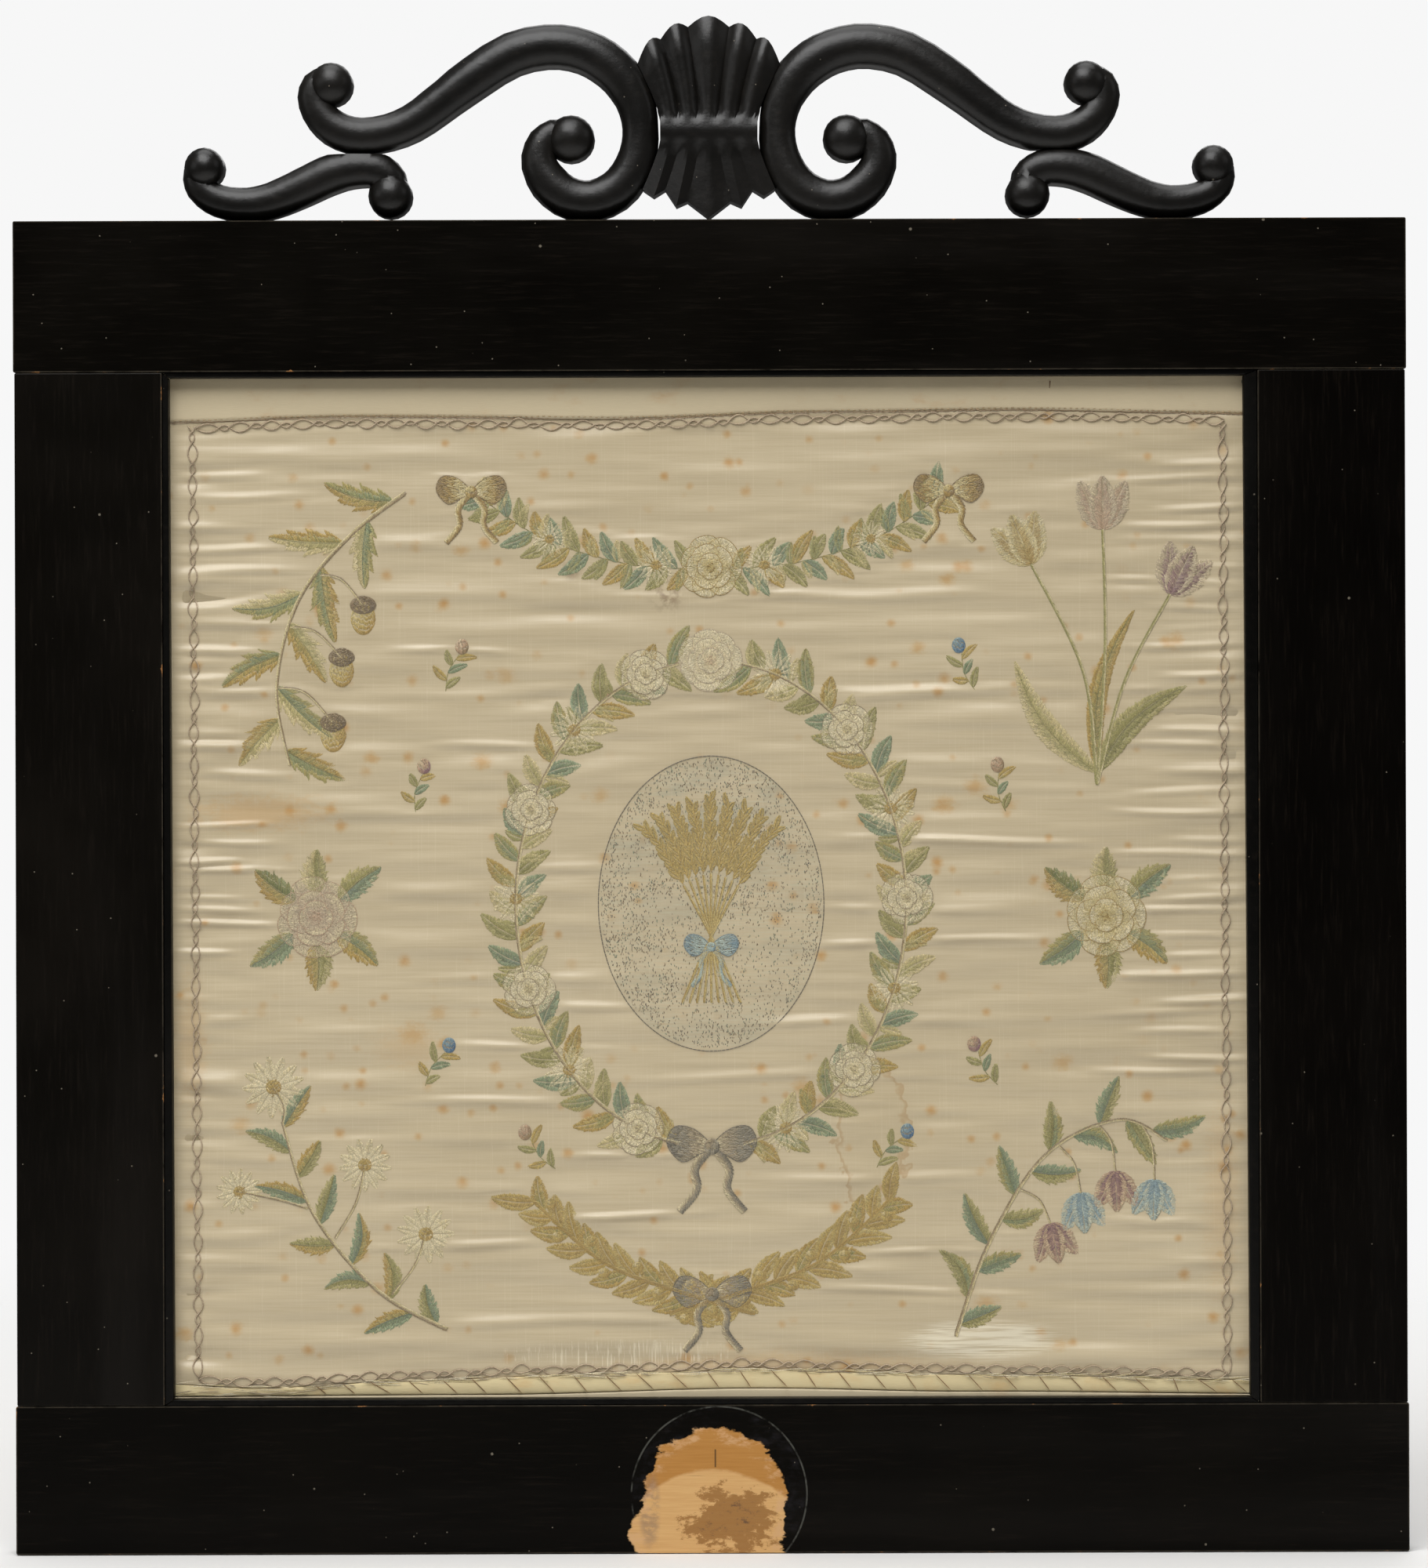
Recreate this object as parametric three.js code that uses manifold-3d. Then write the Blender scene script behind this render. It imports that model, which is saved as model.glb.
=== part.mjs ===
// A framed silk embroidery: a black board frame with a carved crest, and the silk stretched in it.
// Millimetres. X runs to the right, Y to the back, Z up. The origin is under the middle of the bottom rail.
import * as THREE from "three";
import { mergeVertices } from "three/addons/utils/BufferGeometryUtils.js";
import Module from "manifold-3d";

const wasm = await Module();
wasm.setup();

// Board frame
const FRAME_WIDTH = 640;
const FRAME_HEIGHT = 612.5;
const BOARD_DEPTH = 22;
const TOP_RAIL = 69.5;
const BOTTOM_RAIL = 68;
const STILE = 67.7;
const STILE_INSET = 0.6; // the stiles stand back a little from the ends of the rails
const GAP = 0.3; // between any two pieces
const FRONT = -BOARD_DEPTH / 2;
const BACK = BOARD_DEPTH / 2;
const LIP = 9; // thickness of the boards in front of the rebate
const REBATE = 8; // how far the rebate reaches outwards behind the sight edge
const SIGHT_X = FRAME_WIDTH / 2 - STILE_INSET - STILE;
const SIGHT_LOW = BOTTOM_RAIL;
const SIGHT_HIGH = FRAME_HEIGHT - TOP_RAIL;
const LIP_BACK = FRONT + LIP;

// Slip: the narrow black strip inside the sight edge, not quite even in width
const SLIP = { left: { low: 4, high: 2.7 }, right: { low: 4, high: 6 }, top: 2.3, bottom: 2.6 };
const SLIP_SET_BACK = 1.5;
const SLIP_ROUND = 1;

// Cloth, all of it stretched on one board in the rebate
const CLOTH = 1.2;
const CLOTH_FRONT = LIP_BACK + GAP;
const CLOTH_BACK = CLOTH_FRONT + CLOTH;
const CLOTH_TUCK = 6.5; // how far the cloth runs behind the lip
const BOARD = 6;

// Seams and edges that run across the cloth, from left to right
const HEADING_SEAM = [
  { x: -264, z: 520 },
  { x: -164, z: 522.6 },
  { x: -40, z: 521.4 },
  { x: 50, z: 524.2 },
  { x: 140, z: 525 },
  { x: 264, z: 522.6 },
];
const HEM_SEAM = [
  { x: -264, z: 77.6 },
  { x: -207, z: 75.4 },
  { x: -145, z: 78.2 },
  { x: -75, z: 80.6 },
  { x: 20, z: 83 },
  { x: 107, z: 80.8 },
  { x: 264, z: 77.8 },
];
const TAPE_EDGE = [
  { x: -264, z: 71.4 },
  { x: -100, z: 72 },
  { x: 20, z: 74.6 },
  { x: 120, z: 72.8 },
  { x: 264, z: 71.4 },
];

// Border: two strands couched in a chain of lens-shaped loops, just inside the silk's edges
const BORDER = { left: { low: -236.8, high: -238.6 }, right: { low: 237.4, high: 236.2 } };
const BORDER_INSET = 2.8; // from the seams above and below
const LOOP = 9.6;
const LOOP_HALF_WIDTH = 2;
const CROSSING_HALF_WIDTH = 0.9;
const STRAND = 0.7;
const CALM = 5; // the modelled puckers die out this near the border

// Crest, drawn for the right half with heights above the top rail
const CREST_BACK = 8;
const CREST_SIDE = -1.5; // where the upright side of a band ends and its rounded front begins
const ROUNDING = 0.34; // depth of the rounded front for each unit of a band's width
const KNOB_DEPTH = 8.2;
// The flat joint between scroll and branch is cut a little lower in the left half than in the right.
const HALVES = { left: { side: -1, joint: 31.3 }, right: { side: 1, joint: 32.8 } };
const JOINT = { from: 132, to: 186 };

const ebony = new THREE.MeshStandardMaterial({ color: 0x14110d, roughness: 0.38, metalness: 0 });
const slipBlack = new THREE.MeshStandardMaterial({ color: 0x0c0b0d, roughness: 0.3, metalness: 0 });
const silk = new THREE.MeshStandardMaterial({ color: 0xc6b894, roughness: 0.45, metalness: 0 });
const heading = new THREE.MeshStandardMaterial({ color: 0xbcae8a, roughness: 0.7, metalness: 0 });
const tape = new THREE.MeshStandardMaterial({ color: 0xd6c796, roughness: 0.7, metalness: 0 });
const cord = new THREE.MeshStandardMaterial({ color: 0x9c8c74, roughness: 0.6, metalness: 0 });
const pine = new THREE.MeshStandardMaterial({ color: 0xb08d5e, roughness: 0.8, metalness: 0 });

const smooth = (t) => {
  const s = Math.min(1, Math.max(0, t));
  return s * s * (3 - 2 * s);
};

// Height of a seam or edge at x, eased from one of its points to the next.
function heightAt(line, x) {
  const k = Math.max(1, Math.min(line.length - 1, line.findIndex((p) => p.x >= x)));
  const [a, b] = [line[k - 1], line[k]];
  return THREE.MathUtils.lerp(a.z, b.z, smooth((x - a.x) / (b.x - a.x)));
}

// Points and triangles as a geometry, turned so that its faces point out.
function geometryOf(points, triangles) {
  let volume = 0;
  for (const [a, b, c] of triangles) volume += points[a].dot(points[b].clone().cross(points[c]));
  const facing = volume < 0 ? triangles.map(([a, b, c]) => [a, c, b]) : triangles;
  const geometry = new THREE.BufferGeometry().setFromPoints(points);
  geometry.setIndex(facing.flat());
  return geometry;
}

// A solid through rings of equal length, with flat ends.
function loft(rings) {
  const n = rings[0].length;
  const triangles = [];
  for (let r = 0; r + 1 < rings.length; r++)
    for (let k = 0; k < n; k++) {
      const a = r * n + k;
      const b = r * n + ((k + 1) % n);
      triangles.push([a, b, b + n], [a, b + n, a + n]);
    }
  const last = (rings.length - 1) * n;
  for (let k = 1; k + 1 < n; k++) {
    triangles.push([0, k + 1, k]);
    triangles.push([last, last + k, last + k + 1]);
  }
  return geometryOf(rings.flat(), triangles);
}

// A sheet with a shaped front and a flat back. place(i, j) gives the front's point in column i and row j.
function sheet(columns, rows, place, back) {
  const points = [];
  const id = (i, j) => j * (columns + 1) + i;
  for (let j = 0; j <= rows; j++) for (let i = 0; i <= columns; i++) points.push(place(i, j));
  const triangles = [];
  for (let j = 0; j < rows; j++)
    for (let i = 0; i < columns; i++) {
      triangles.push([id(i, j), id(i + 1, j), id(i + 1, j + 1)]);
      triangles.push([id(i, j), id(i + 1, j + 1), id(i, j + 1)]);
    }
  const rim = [];
  for (let i = 0; i < columns; i++) rim.push(id(i, 0));
  for (let j = 0; j < rows; j++) rim.push(id(columns, j));
  for (let i = columns; i > 0; i--) rim.push(id(i, rows));
  for (let j = rows; j > 0; j--) rim.push(id(0, j));
  const first = points.length;
  for (const k of rim) points.push(new THREE.Vector3(points[k].x, back, points[k].z));
  const middle = points.length;
  const bounds = new THREE.Box3().setFromPoints(points);
  const centre = bounds.getCenter(new THREE.Vector3());
  points.push(centre.setY(back));
  rim.forEach((k, m) => {
    const next = (m + 1) % rim.length;
    triangles.push([k, first + m, first + next], [k, first + next, rim[next]]);
    triangles.push([first + m, middle, first + next]);
  });
  return geometryOf(points, triangles);
}

function box(x0, x1, y0, y1, z0, z1) {
  const geometry = new THREE.BoxGeometry(x1 - x0, y1 - y0, z1 - z0);
  return geometry.translate((x0 + x1) / 2, (y0 + y1) / 2, (z0 + z1) / 2);
}

function solidOf(geometry) {
  const bare = geometry.clone();
  bare.deleteAttribute("normal");
  bare.deleteAttribute("uv");
  const merged = mergeVertices(bare, 1e-4);
  return new wasm.Manifold(
    new wasm.Mesh({
      numProp: 3,
      vertProperties: new Float32Array(merged.attributes.position.array),
      triVerts: new Uint32Array(merged.index.array),
    }),
  );
}

function geometryOfSolid(solid) {
  const mesh = solid.getMesh();
  const geometry = new THREE.BufferGeometry();
  geometry.setAttribute("position", new THREE.BufferAttribute(mesh.vertProperties, 3));
  geometry.setIndex(new THREE.BufferAttribute(mesh.triVerts, 1));
  return geometry;
}

// A full-length rail with a stopped rebate behind the sight edge.
function rail(low, high, rebateLow, rebateHigh) {
  const board = solidOf(box(-FRAME_WIDTH / 2, FRAME_WIDTH / 2, FRONT, BACK, low, high));
  const reach = SIGHT_X + REBATE;
  const rebate = solidOf(box(-reach, reach, LIP_BACK, BACK + 1, rebateLow, rebateHigh));
  return geometryOfSolid(board.subtract(rebate));
}

// A stile between the rails: an L-shaped section run upwards.
function stile(side) {
  const section = [
    [SIGHT_X, FRONT],
    [SIGHT_X + STILE, FRONT],
    [SIGHT_X + STILE, BACK],
    [SIGHT_X + REBATE, BACK],
    [SIGHT_X + REBATE, LIP_BACK],
    [SIGHT_X, LIP_BACK],
  ];
  const outline = new THREE.Shape(section.map(([x, y]) => new THREE.Vector2(side * x, y)));
  const depth = SIGHT_HIGH - SIGHT_LOW - 2 * GAP;
  const geometry = new THREE.ExtrudeGeometry(outline, { depth, bevelEnabled: false });
  return geometry.translate(0, 0, SIGHT_LOW + GAP);
}

// A corner of the slip, u of the way from its outer edge to its inner edge. end is -1 below and 1 above.
function slipCorner(u, side, end) {
  const width = SLIP[side < 0 ? "left" : "right"][end < 0 ? "low" : "high"];
  return {
    x: side * (SIGHT_X - GAP - u * width),
    z: end < 0 ? SIGHT_LOW + GAP + u * SLIP.bottom : SIGHT_HIGH - GAP - u * SLIP.top,
  };
}

// One strip of the slip, mitred at both ends, with its inner edge rounded over.
function slip(level, corners) {
  const front = FRONT + SLIP_SET_BACK;
  const profile = [
    { u: 0, y: LIP_BACK },
    { u: 0, y: front },
    { u: 0.65, y: front },
    { u: 0.9, y: front + 0.3 * SLIP_ROUND },
    { u: 1, y: front + SLIP_ROUND },
    { u: 1, y: LIP_BACK },
  ];
  const rings = corners.map(({ side, end }) =>
    profile.map(({ u, y }) => {
      const { x, z } = slipCorner(u, side, end);
      return new THREE.Vector3(level ? x - side * GAP : x, y, level ? z : z - end * GAP);
    }),
  );
  return loft(rings);
}

// Main creases of the silk: where the middle is, length, rise towards the front, and width across.
const CREASES = [
  { x: 60, z: 441, long: 150, rise: 0.7, wide: 9 },
  { x: -95, z: 480, long: 110, rise: 0.5, wide: 10 },
  { x: -120, z: 414, long: 60, rise: 0.6, wide: 6 },
  { x: 20, z: 396, long: 300, rise: 0.9, wide: 9 },
  { x: -95, z: 370, long: 80, rise: 0.6, wide: 6 },
  { x: 110, z: 352, long: 160, rise: 0.6, wide: 9 },
  { x: -150, z: 338, long: 120, rise: 0.6, wide: 10 },
  { x: 120, z: 327, long: 120, rise: 0.8, wide: 6 },
  { x: -60, z: 316, long: 130, rise: 0.6, wide: 8 },
  { x: 85, z: 296, long: 120, rise: 0.7, wide: 7 },
  { x: 95, z: 280, long: 130, rise: 0.8, wide: 6 },
  { x: -105, z: 262, long: 120, rise: 0.6, wide: 8 },
  { x: -70, z: 252, long: 100, rise: 0.7, wide: 7 },
  { x: 60, z: 243, long: 150, rise: 0.7, wide: 8 },
  { x: -85, z: 233, long: 90, rise: 0.7, wide: 6 },
  { x: 40, z: 218, long: 170, rise: 0.6, wide: 8 },
  { x: -110, z: 206, long: 90, rise: 0.6, wide: 7 },
  { x: -20, z: 181, long: 110, rise: 0.8, wide: 6 },
  { x: 80, z: 172, long: 110, rise: 0.6, wide: 8 },
  { x: -40, z: 154, long: 90, rise: 0.8, wide: 6 },
  { x: -120, z: 141, long: 110, rise: 0.8, wide: 7 },
  { x: 85, z: 136, long: 130, rise: 0.7, wide: 6 },
  { x: 90, z: 119, long: 120, rise: 0.7, wide: 6 },
  { x: -60, z: 105, long: 150, rise: 0.5, wide: 8 },
];

// Short draws that run in from the two side edges, a row for each stretch of that edge.
const DRAWS = [
  { side: -1, low: 352, high: 505, pitch: 11.5, rise: 0.8, long: 56 },
  { side: -1, low: 275, high: 340, pitch: 8, rise: 0.9, long: 44 },
  { side: -1, low: 120, high: 262, pitch: 17, rise: 0.6, long: 52 },
  { side: 1, low: 325, high: 505, pitch: 9.5, rise: 0.8, long: 58 },
  { side: 1, low: 215, high: 322, pitch: 9, rise: 0.9, long: 62 },
  { side: 1, low: 110, high: 205, pitch: 15, rise: 0.6, long: 56 },
];

function drawsOf({ side, low, high, pitch, rise, long }) {
  const count = Math.round((high - low) / pitch);
  return Array.from({ length: count }, (_, k) => {
    const sway = Math.sin(k * 2.4 + low); // uneven from one draw to the next
    const length = long * (1 + 0.3 * sway);
    return {
      x: side * (SIGHT_X - 4 - length / 2),
      z: low + (k + 0.5 + 0.2 * sway) * pitch,
      long: length,
      rise: rise * (0.75 + 0.25 * Math.sin(k * 1.7)),
      wide: pitch * 0.62,
    };
  });
}

const PUCKERS = [...CREASES, ...DRAWS.flatMap(drawsOf)];

// Where the border lies: x of a side strip at height z, and z of the strips above and below at x.
const LEVEL = { low: 80.4, high: 519 }; // heights of its corners
function borderX(side, z) {
  const t = (z - LEVEL.low) / (LEVEL.high - LEVEL.low);
  return THREE.MathUtils.lerp(BORDER[side].low, BORDER[side].high, t);
}
const borderLow = (x) => heightAt(HEM_SEAM, x) + BORDER_INSET;
const borderHigh = (x) => heightAt(HEADING_SEAM, x) - BORDER_INSET;

// How far the silk stands in front of its flat plane at a point.
function pucker(x, z) {
  let rise = 0;
  for (const p of PUCKERS) {
    const along = (x - p.x) / (p.long / 2);
    const across = (z - p.z) / (p.wide / 2);
    if (Math.abs(along) < 1 && Math.abs(across) < 1)
      rise = Math.max(rise, p.rise * (1 - along * along) * (0.5 + 0.5 * Math.cos(Math.PI * across)));
  }
  const sides = Math.min(x - borderX("left", z), borderX("right", z) - x);
  const ends = Math.min(z - borderLow(x), borderHigh(x) - z);
  return rise * smooth(sides / CALM - 0.5) * smooth(ends / CALM - 0.5);
}

// x of each column of points across the cloth, at height z. The border's side strips lie between two of them.
const COLUMNS = 16;
function columnX(i, z) {
  const reach = SIGHT_X + CLOTH_TUCK;
  const clear = LOOP_HALF_WIDTH + 2 * GAP;
  const [left, right] = [borderX("left", z), borderX("right", z)];
  const ends = { 0: -reach, 1: left - clear, [COLUMNS - 1]: right + clear, [COLUMNS]: reach };
  if (i in ends) return ends[i];
  const t = (2 * (i - 2)) / (COLUMNS - 4) - 1;
  const crowded = 0.55 * t + 0.45 * Math.sin((Math.PI / 2) * t); // closer together near the sides
  return (left + right) / 2 + ((right - left) / 2 - clear) * crowded;
}

function silkPanel() {
  const rows = 150;
  const place = (i, j) => {
    const level = THREE.MathUtils.lerp(LEVEL.low, LEVEL.high, j / rows);
    const x = columnX(i, level);
    const low = heightAt(HEM_SEAM, x) + GAP / 2;
    const high = heightAt(HEADING_SEAM, x) - GAP / 2;
    const z = THREE.MathUtils.lerp(low, high, j / rows);
    return new THREE.Vector3(x, CLOTH_FRONT - pucker(x, z), z);
  };
  return sheet(COLUMNS, rows, place, CLOTH_BACK);
}

// A strip of cloth above or below the silk, between two lines that run across, swelling a little in its middle.
// Its columns are those of the silk at the given level.
function strip(level, low, high, swell) {
  const place = (i, j) => {
    const x = columnX(i, level);
    const z = THREE.MathUtils.lerp(low(x), high(x), j / 2);
    const swells = j === 1 && i > 1 && i < COLUMNS - 1; // flat under the slip at both ends
    const lift = swells ? swell * (0.6 + 0.4 * Math.sin(x / 23)) : 0;
    return new THREE.Vector3(x, CLOTH_FRONT - lift, z);
  };
  return sheet(COLUMNS, 2, place, CLOTH_BACK);
}

// One side of the border as a flat strip on the silk that widens at each loop. at(t) gives its centre line.
function borderStrip(length, at) {
  const steps = 2 * Math.round(length / LOOP);
  const under = CLOTH_FRONT - GAP;
  const rings = Array.from({ length: steps + 1 }, (_, k) => {
    const half = k % 2 ? LOOP_HALF_WIDTH : CROSSING_HALF_WIDTH;
    const centre = at(k / steps);
    const along = at(k / steps + 0.01).sub(at(k / steps - 0.01)).normalize();
    const across = new THREE.Vector3(-along.z, 0, along.x);
    return [
      centre.clone().addScaledVector(across, -half).setY(under),
      centre.clone().addScaledVector(across, half).setY(under),
      centre.clone().setY(under - STRAND),
    ];
  });
  return loft(rings);
}

function levelBorder(z) {
  const inset = LOOP_HALF_WIDTH + GAP;
  const from = BORDER.left.low + inset;
  const to = BORDER.right.high - inset;
  return borderStrip(to - from, (t) => {
    const x = THREE.MathUtils.lerp(from, to, t);
    return new THREE.Vector3(x, 0, z(x));
  });
}

function sideBorder(side) {
  return borderStrip(LEVEL.high - LEVEL.low, (t) => {
    const z = THREE.MathUtils.lerp(LEVEL.low, LEVEL.high, t);
    return new THREE.Vector3(borderX(side, z), 0, z);
  });
}

// Centre lines of the carved bands in the right half: x, height above the rail, and full width.
const SCROLL = [
  { x: 176.5, h: 66.5, w: 12 },
  { x: 181.5, h: 62.5, w: 13.6 },
  { x: 182.3, h: 56, w: 14.4 },
  { x: 178.6, h: 48.8, w: 15.8 },
  { x: 172.5, h: 43.4, w: 16.5 },
  { x: 162.5, h: 40, w: 16.8 },
  { x: 148.5, h: 41.4, w: 16.6 },
  { x: 136.4, h: 46.1, w: 17.1 },
  { x: 123.7, h: 55.1, w: 18 },
  { x: 109.2, h: 66, w: 19.6 },
  { x: 89.9, h: 77.7, w: 20 },
  { x: 71.9, h: 81.1, w: 20 },
  { x: 58.7, h: 79, w: 20 },
  { x: 48.7, h: 74.2, w: 20.2 },
  { x: 39.5, h: 65.8, w: 19.6 },
  { x: 33.4, h: 54.2, w: 17.7 },
  { x: 31.6, h: 43.3, w: 16.6 },
  { x: 32, h: 34.4, w: 17 },
  { x: 35.5, h: 23.6, w: 18.2 },
  { x: 42.7, h: 14.6, w: 18.8 },
  { x: 54, h: 9.7, w: 18.8 },
  { x: 64.7, h: 11.2, w: 18.8 },
  { x: 73.3, h: 17.6, w: 18.6 },
  { x: 78.2, h: 26.5, w: 16.9 },
  { x: 77.2, h: 35.2, w: 15 },
  { x: 72, h: 40.6, w: 13 },
  { x: 64.9, h: 41.8, w: 10 },
];
const SCROLL_KNOBS = [
  { x: 174, h: 63.6, r: 10 },
  { x: 63.5, h: 38.2, r: 10.9 },
];
const BRANCH = [
  { x: 234.6, h: 27.2, w: 10 },
  { x: 236.7, h: 21.4, w: 11.8 },
  { x: 234, h: 15.2, w: 13.6 },
  { x: 226.4, h: 10.4, w: 14.6 },
  { x: 214.2, h: 8.3, w: 15.5 },
  { x: 203.9, h: 9.6, w: 16.3 },
  { x: 194.4, h: 13.1, w: 17 },
  { x: 185, h: 17.4, w: 17.6 },
  { x: 175, h: 22, w: 18 },
  { x: 164.8, h: 24.6, w: 17.4 },
  { x: 154.5, h: 24.4, w: 16.5 },
  { x: 147.4, h: 20.8, w: 15 },
  { x: 145.4, h: 15.5, w: 13 },
];
const BRANCH_KNOBS = [
  { x: 232.6, h: 25.3, r: 9.3 },
  { x: 146.9, h: 12, r: 10.2 },
];

// A band with a flat back, upright sides and a rounded front, swept along a centre line in the crest's plane.
function band(line, side, extra, steps) {
  const curve = new THREE.CatmullRomCurve3(
    line.map(({ x, h }) => new THREE.Vector3(side * x, 0, FRAME_HEIGHT + h)),
    false,
    "centripetal",
  );
  const widthAt = (t) => {
    const place = t * (line.length - 1);
    const k = Math.min(line.length - 2, Math.floor(place));
    return THREE.MathUtils.lerp(line[k].w, line[k + 1].w, smooth(place - k)) + 2 * extra;
  };
  const rings = [];
  for (let s = 0; s <= steps; s++) {
    const centre = curve.getPoint(s / steps);
    const along = curve.getTangent(s / steps);
    const across = new THREE.Vector3(-along.z, 0, along.x).normalize();
    const half = widthAt(s / steps) / 2;
    const depth = ROUNDING * 2 * half + extra;
    const section = [
      [-1, CREST_BACK + extra],
      [-1, CREST_SIDE],
      [-0.82, CREST_SIDE - 0.58 * depth],
      [-0.45, CREST_SIDE - 0.89 * depth],
      [0, CREST_SIDE - depth],
      [0.45, CREST_SIDE - 0.89 * depth],
      [0.82, CREST_SIDE - 0.58 * depth],
      [1, CREST_SIDE],
      [1, CREST_BACK + extra],
    ];
    rings.push(section.map(([n, y]) => centre.clone().addScaledVector(across, n * half).setY(y)));
  }
  return solidOf(loft(rings));
}

// The round knob that a band curls into.
function knob({ x, h, r }, side, extra) {
  const radius = r + extra;
  const steps = 5;
  const back = -CREST_BACK - extra;
  const profile = [new THREE.Vector2(0, back), new THREE.Vector2(radius, back)];
  for (let k = 0; k <= steps; k++) {
    const angle = (k / steps) * (Math.PI / 2);
    const out = k === steps ? 0 : radius * Math.cos(angle);
    profile.push(new THREE.Vector2(out, -CREST_SIDE + (KNOB_DEPTH + extra) * Math.sin(angle)));
  }
  const geometry = new THREE.LatheGeometry(profile, 20).rotateX(Math.PI);
  return solidOf(geometry.translate(side * x, 0, FRAME_HEIGHT + h));
}

function carved(line, knobs, side, steps, extra = 0) {
  return knobs.reduce((solid, k) => solid.add(knob(k, side, extra)), band(line, side, extra, steps));
}

// What the joint takes away, between two heights above the rail.
function jointCut(side, low, high) {
  const [from, to] = [side * JOINT.from, side * JOINT.to].sort((a, b) => a - b);
  return solidOf(box(from, to, FRONT - REBATE, BACK + REBATE, FRAME_HEIGHT + low, FRAME_HEIGHT + high));
}
const seat = solidOf(
  box(-FRAME_WIDTH, FRAME_WIDTH, FRONT - REBATE, BACK + REBATE, SIGHT_HIGH, FRAME_HEIGHT + GAP),
);

const scrollSolid = (side, extra) => carved(SCROLL, SCROLL_KNOBS, side, 60, extra);

function scroll({ side, joint }) {
  const cut = jointCut(side, joint - 20, joint + GAP / 2);
  return geometryOfSolid(scrollSolid(side, 0).subtract(cut).subtract(seat));
}

function branch({ side, joint }) {
  const cut = jointCut(side, joint - GAP / 2, joint + 20);
  return geometryOfSolid(carved(BRANCH, BRANCH_KNOBS, side, 32).subtract(cut).subtract(seat));
}

// The shell between the scrolls, in five flutes. A line between two flutes runs from the waist up to a notch
// in the upper edge, and down to a notch in the lower edge.
const WAIST = { low: 36.6, high: 46.2, half: 22.4 };
const SHELL_FRONT = -7.5;
const TIE_PROUD = 1.6;
const FLUTES = [
  { lobe: 4.9, point: 3.4 },
  { lobe: 3.8, point: 5 },
  { lobe: 4.8, point: 7.6 },
  { lobe: 3.8, point: 5 },
  { lobe: 4.9, point: 3.4 },
];
const FLUTE_LINES = [
  { share: -1, topX: -33, topH: 72, footX: -30.5, footH: 14.5 },
  { share: -0.6, topX: -22.1, topH: 83.8, footX: -20.1, footH: 14.2 },
  { share: -0.2, topX: -9.5, topH: 89.4, footX: -9.9, footH: 8.7 },
  { share: 0.2, topX: 9.5, topH: 89.4, footX: 9.9, footH: 8.7 },
  { share: 0.6, topX: 22.1, topH: 83.8, footX: 20.1, footH: 14.2 },
  { share: 1, topX: 33, topH: 72, footX: 30.5, footH: 14.5 },
];

// A point of the lower leaves, v of the way from the waist down to the points.
function leafPoint(between, fold, point, v) {
  const x = THREE.MathUtils.lerp(WAIST.half * between("share"), between("footX"), v ** 1.25);
  const h = THREE.MathUtils.lerp(WAIST.low, between("footH") - point * fold, v);
  return new THREE.Vector3(x, SHELL_FRONT + 2.2 - 2.4 * fold, FRAME_HEIGHT + h);
}

// A point of the upper lobes, v of the way from the waist up to the rim, where they roll over.
function lobePoint(between, ridge, lobe, v) {
  const x = THREE.MathUtils.lerp(WAIST.half * between("share"), between("topX"), v ** 1.35);
  const h = THREE.MathUtils.lerp(WAIST.high, between("topH") + lobe * ridge, v);
  const roll = 2.6 * smooth((v - 0.8) / 0.2);
  return new THREE.Vector3(x, SHELL_FRONT + 2.4 + roll - 3 * ridge, FRAME_HEIGHT + h);
}

function shell() {
  const perFlute = 6;
  const rows = { leaf: 6, tie: 3, lobe: 9 };
  const place = (i, j) => {
    const k = Math.min(FLUTES.length - 1, Math.floor(i / perFlute));
    const t = i / perFlute - k;
    const between = (key) => THREE.MathUtils.lerp(FLUTE_LINES[k][key], FLUTE_LINES[k + 1][key], t);
    const { lobe, point } = FLUTES[k];
    if (j < rows.leaf) return leafPoint(between, 1 - Math.abs(2 * t - 1), point, 1 - j / rows.leaf);
    const v = (j - rows.leaf) / rows.tie;
    if (v > 1) return lobePoint(between, Math.sin(Math.PI * t), lobe, (j - rows.leaf - rows.tie) / rows.lobe);
    const proud = v > 0 && v < 1 ? TIE_PROUD : TIE_PROUD / 2;
    const h = THREE.MathUtils.lerp(WAIST.low, WAIST.high, v);
    return new THREE.Vector3(WAIST.half * between("share"), SHELL_FRONT - proud, FRAME_HEIGHT + h);
  };
  const count = rows.leaf + rows.tie + rows.lobe;
  const whole = solidOf(sheet(FLUTES.length * perFlute, count, place, CREST_BACK));
  const scrolls = scrollSolid(-1, GAP).add(scrollSolid(1, GAP));
  return geometryOfSolid(whole.subtract(scrolls).subtract(seat));
}

const part = new THREE.Group();
function add(name, geometry, material) {
  const mesh = new THREE.Mesh(geometry, material);
  mesh.name = name;
  part.add(mesh);
}

add("rail_bottom", rail(0, BOTTOM_RAIL, BOTTOM_RAIL - REBATE, BOTTOM_RAIL + 1), ebony);
add("rail_top", rail(SIGHT_HIGH, FRAME_HEIGHT, SIGHT_HIGH - 1, SIGHT_HIGH + REBATE), ebony);
add("stile_left", stile(-1), ebony);
add("stile_right", stile(1), ebony);

const corner = (side, end) => ({ side, end });
add("slip_top", slip(true, [corner(-1, 1), corner(1, 1)]), slipBlack);
add("slip_bottom", slip(true, [corner(-1, -1), corner(1, -1)]), slipBlack);
add("slip_left", slip(false, [corner(-1, -1), corner(-1, 1)]), slipBlack);
add("slip_right", slip(false, [corner(1, -1), corner(1, 1)]), slipBlack);

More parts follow.
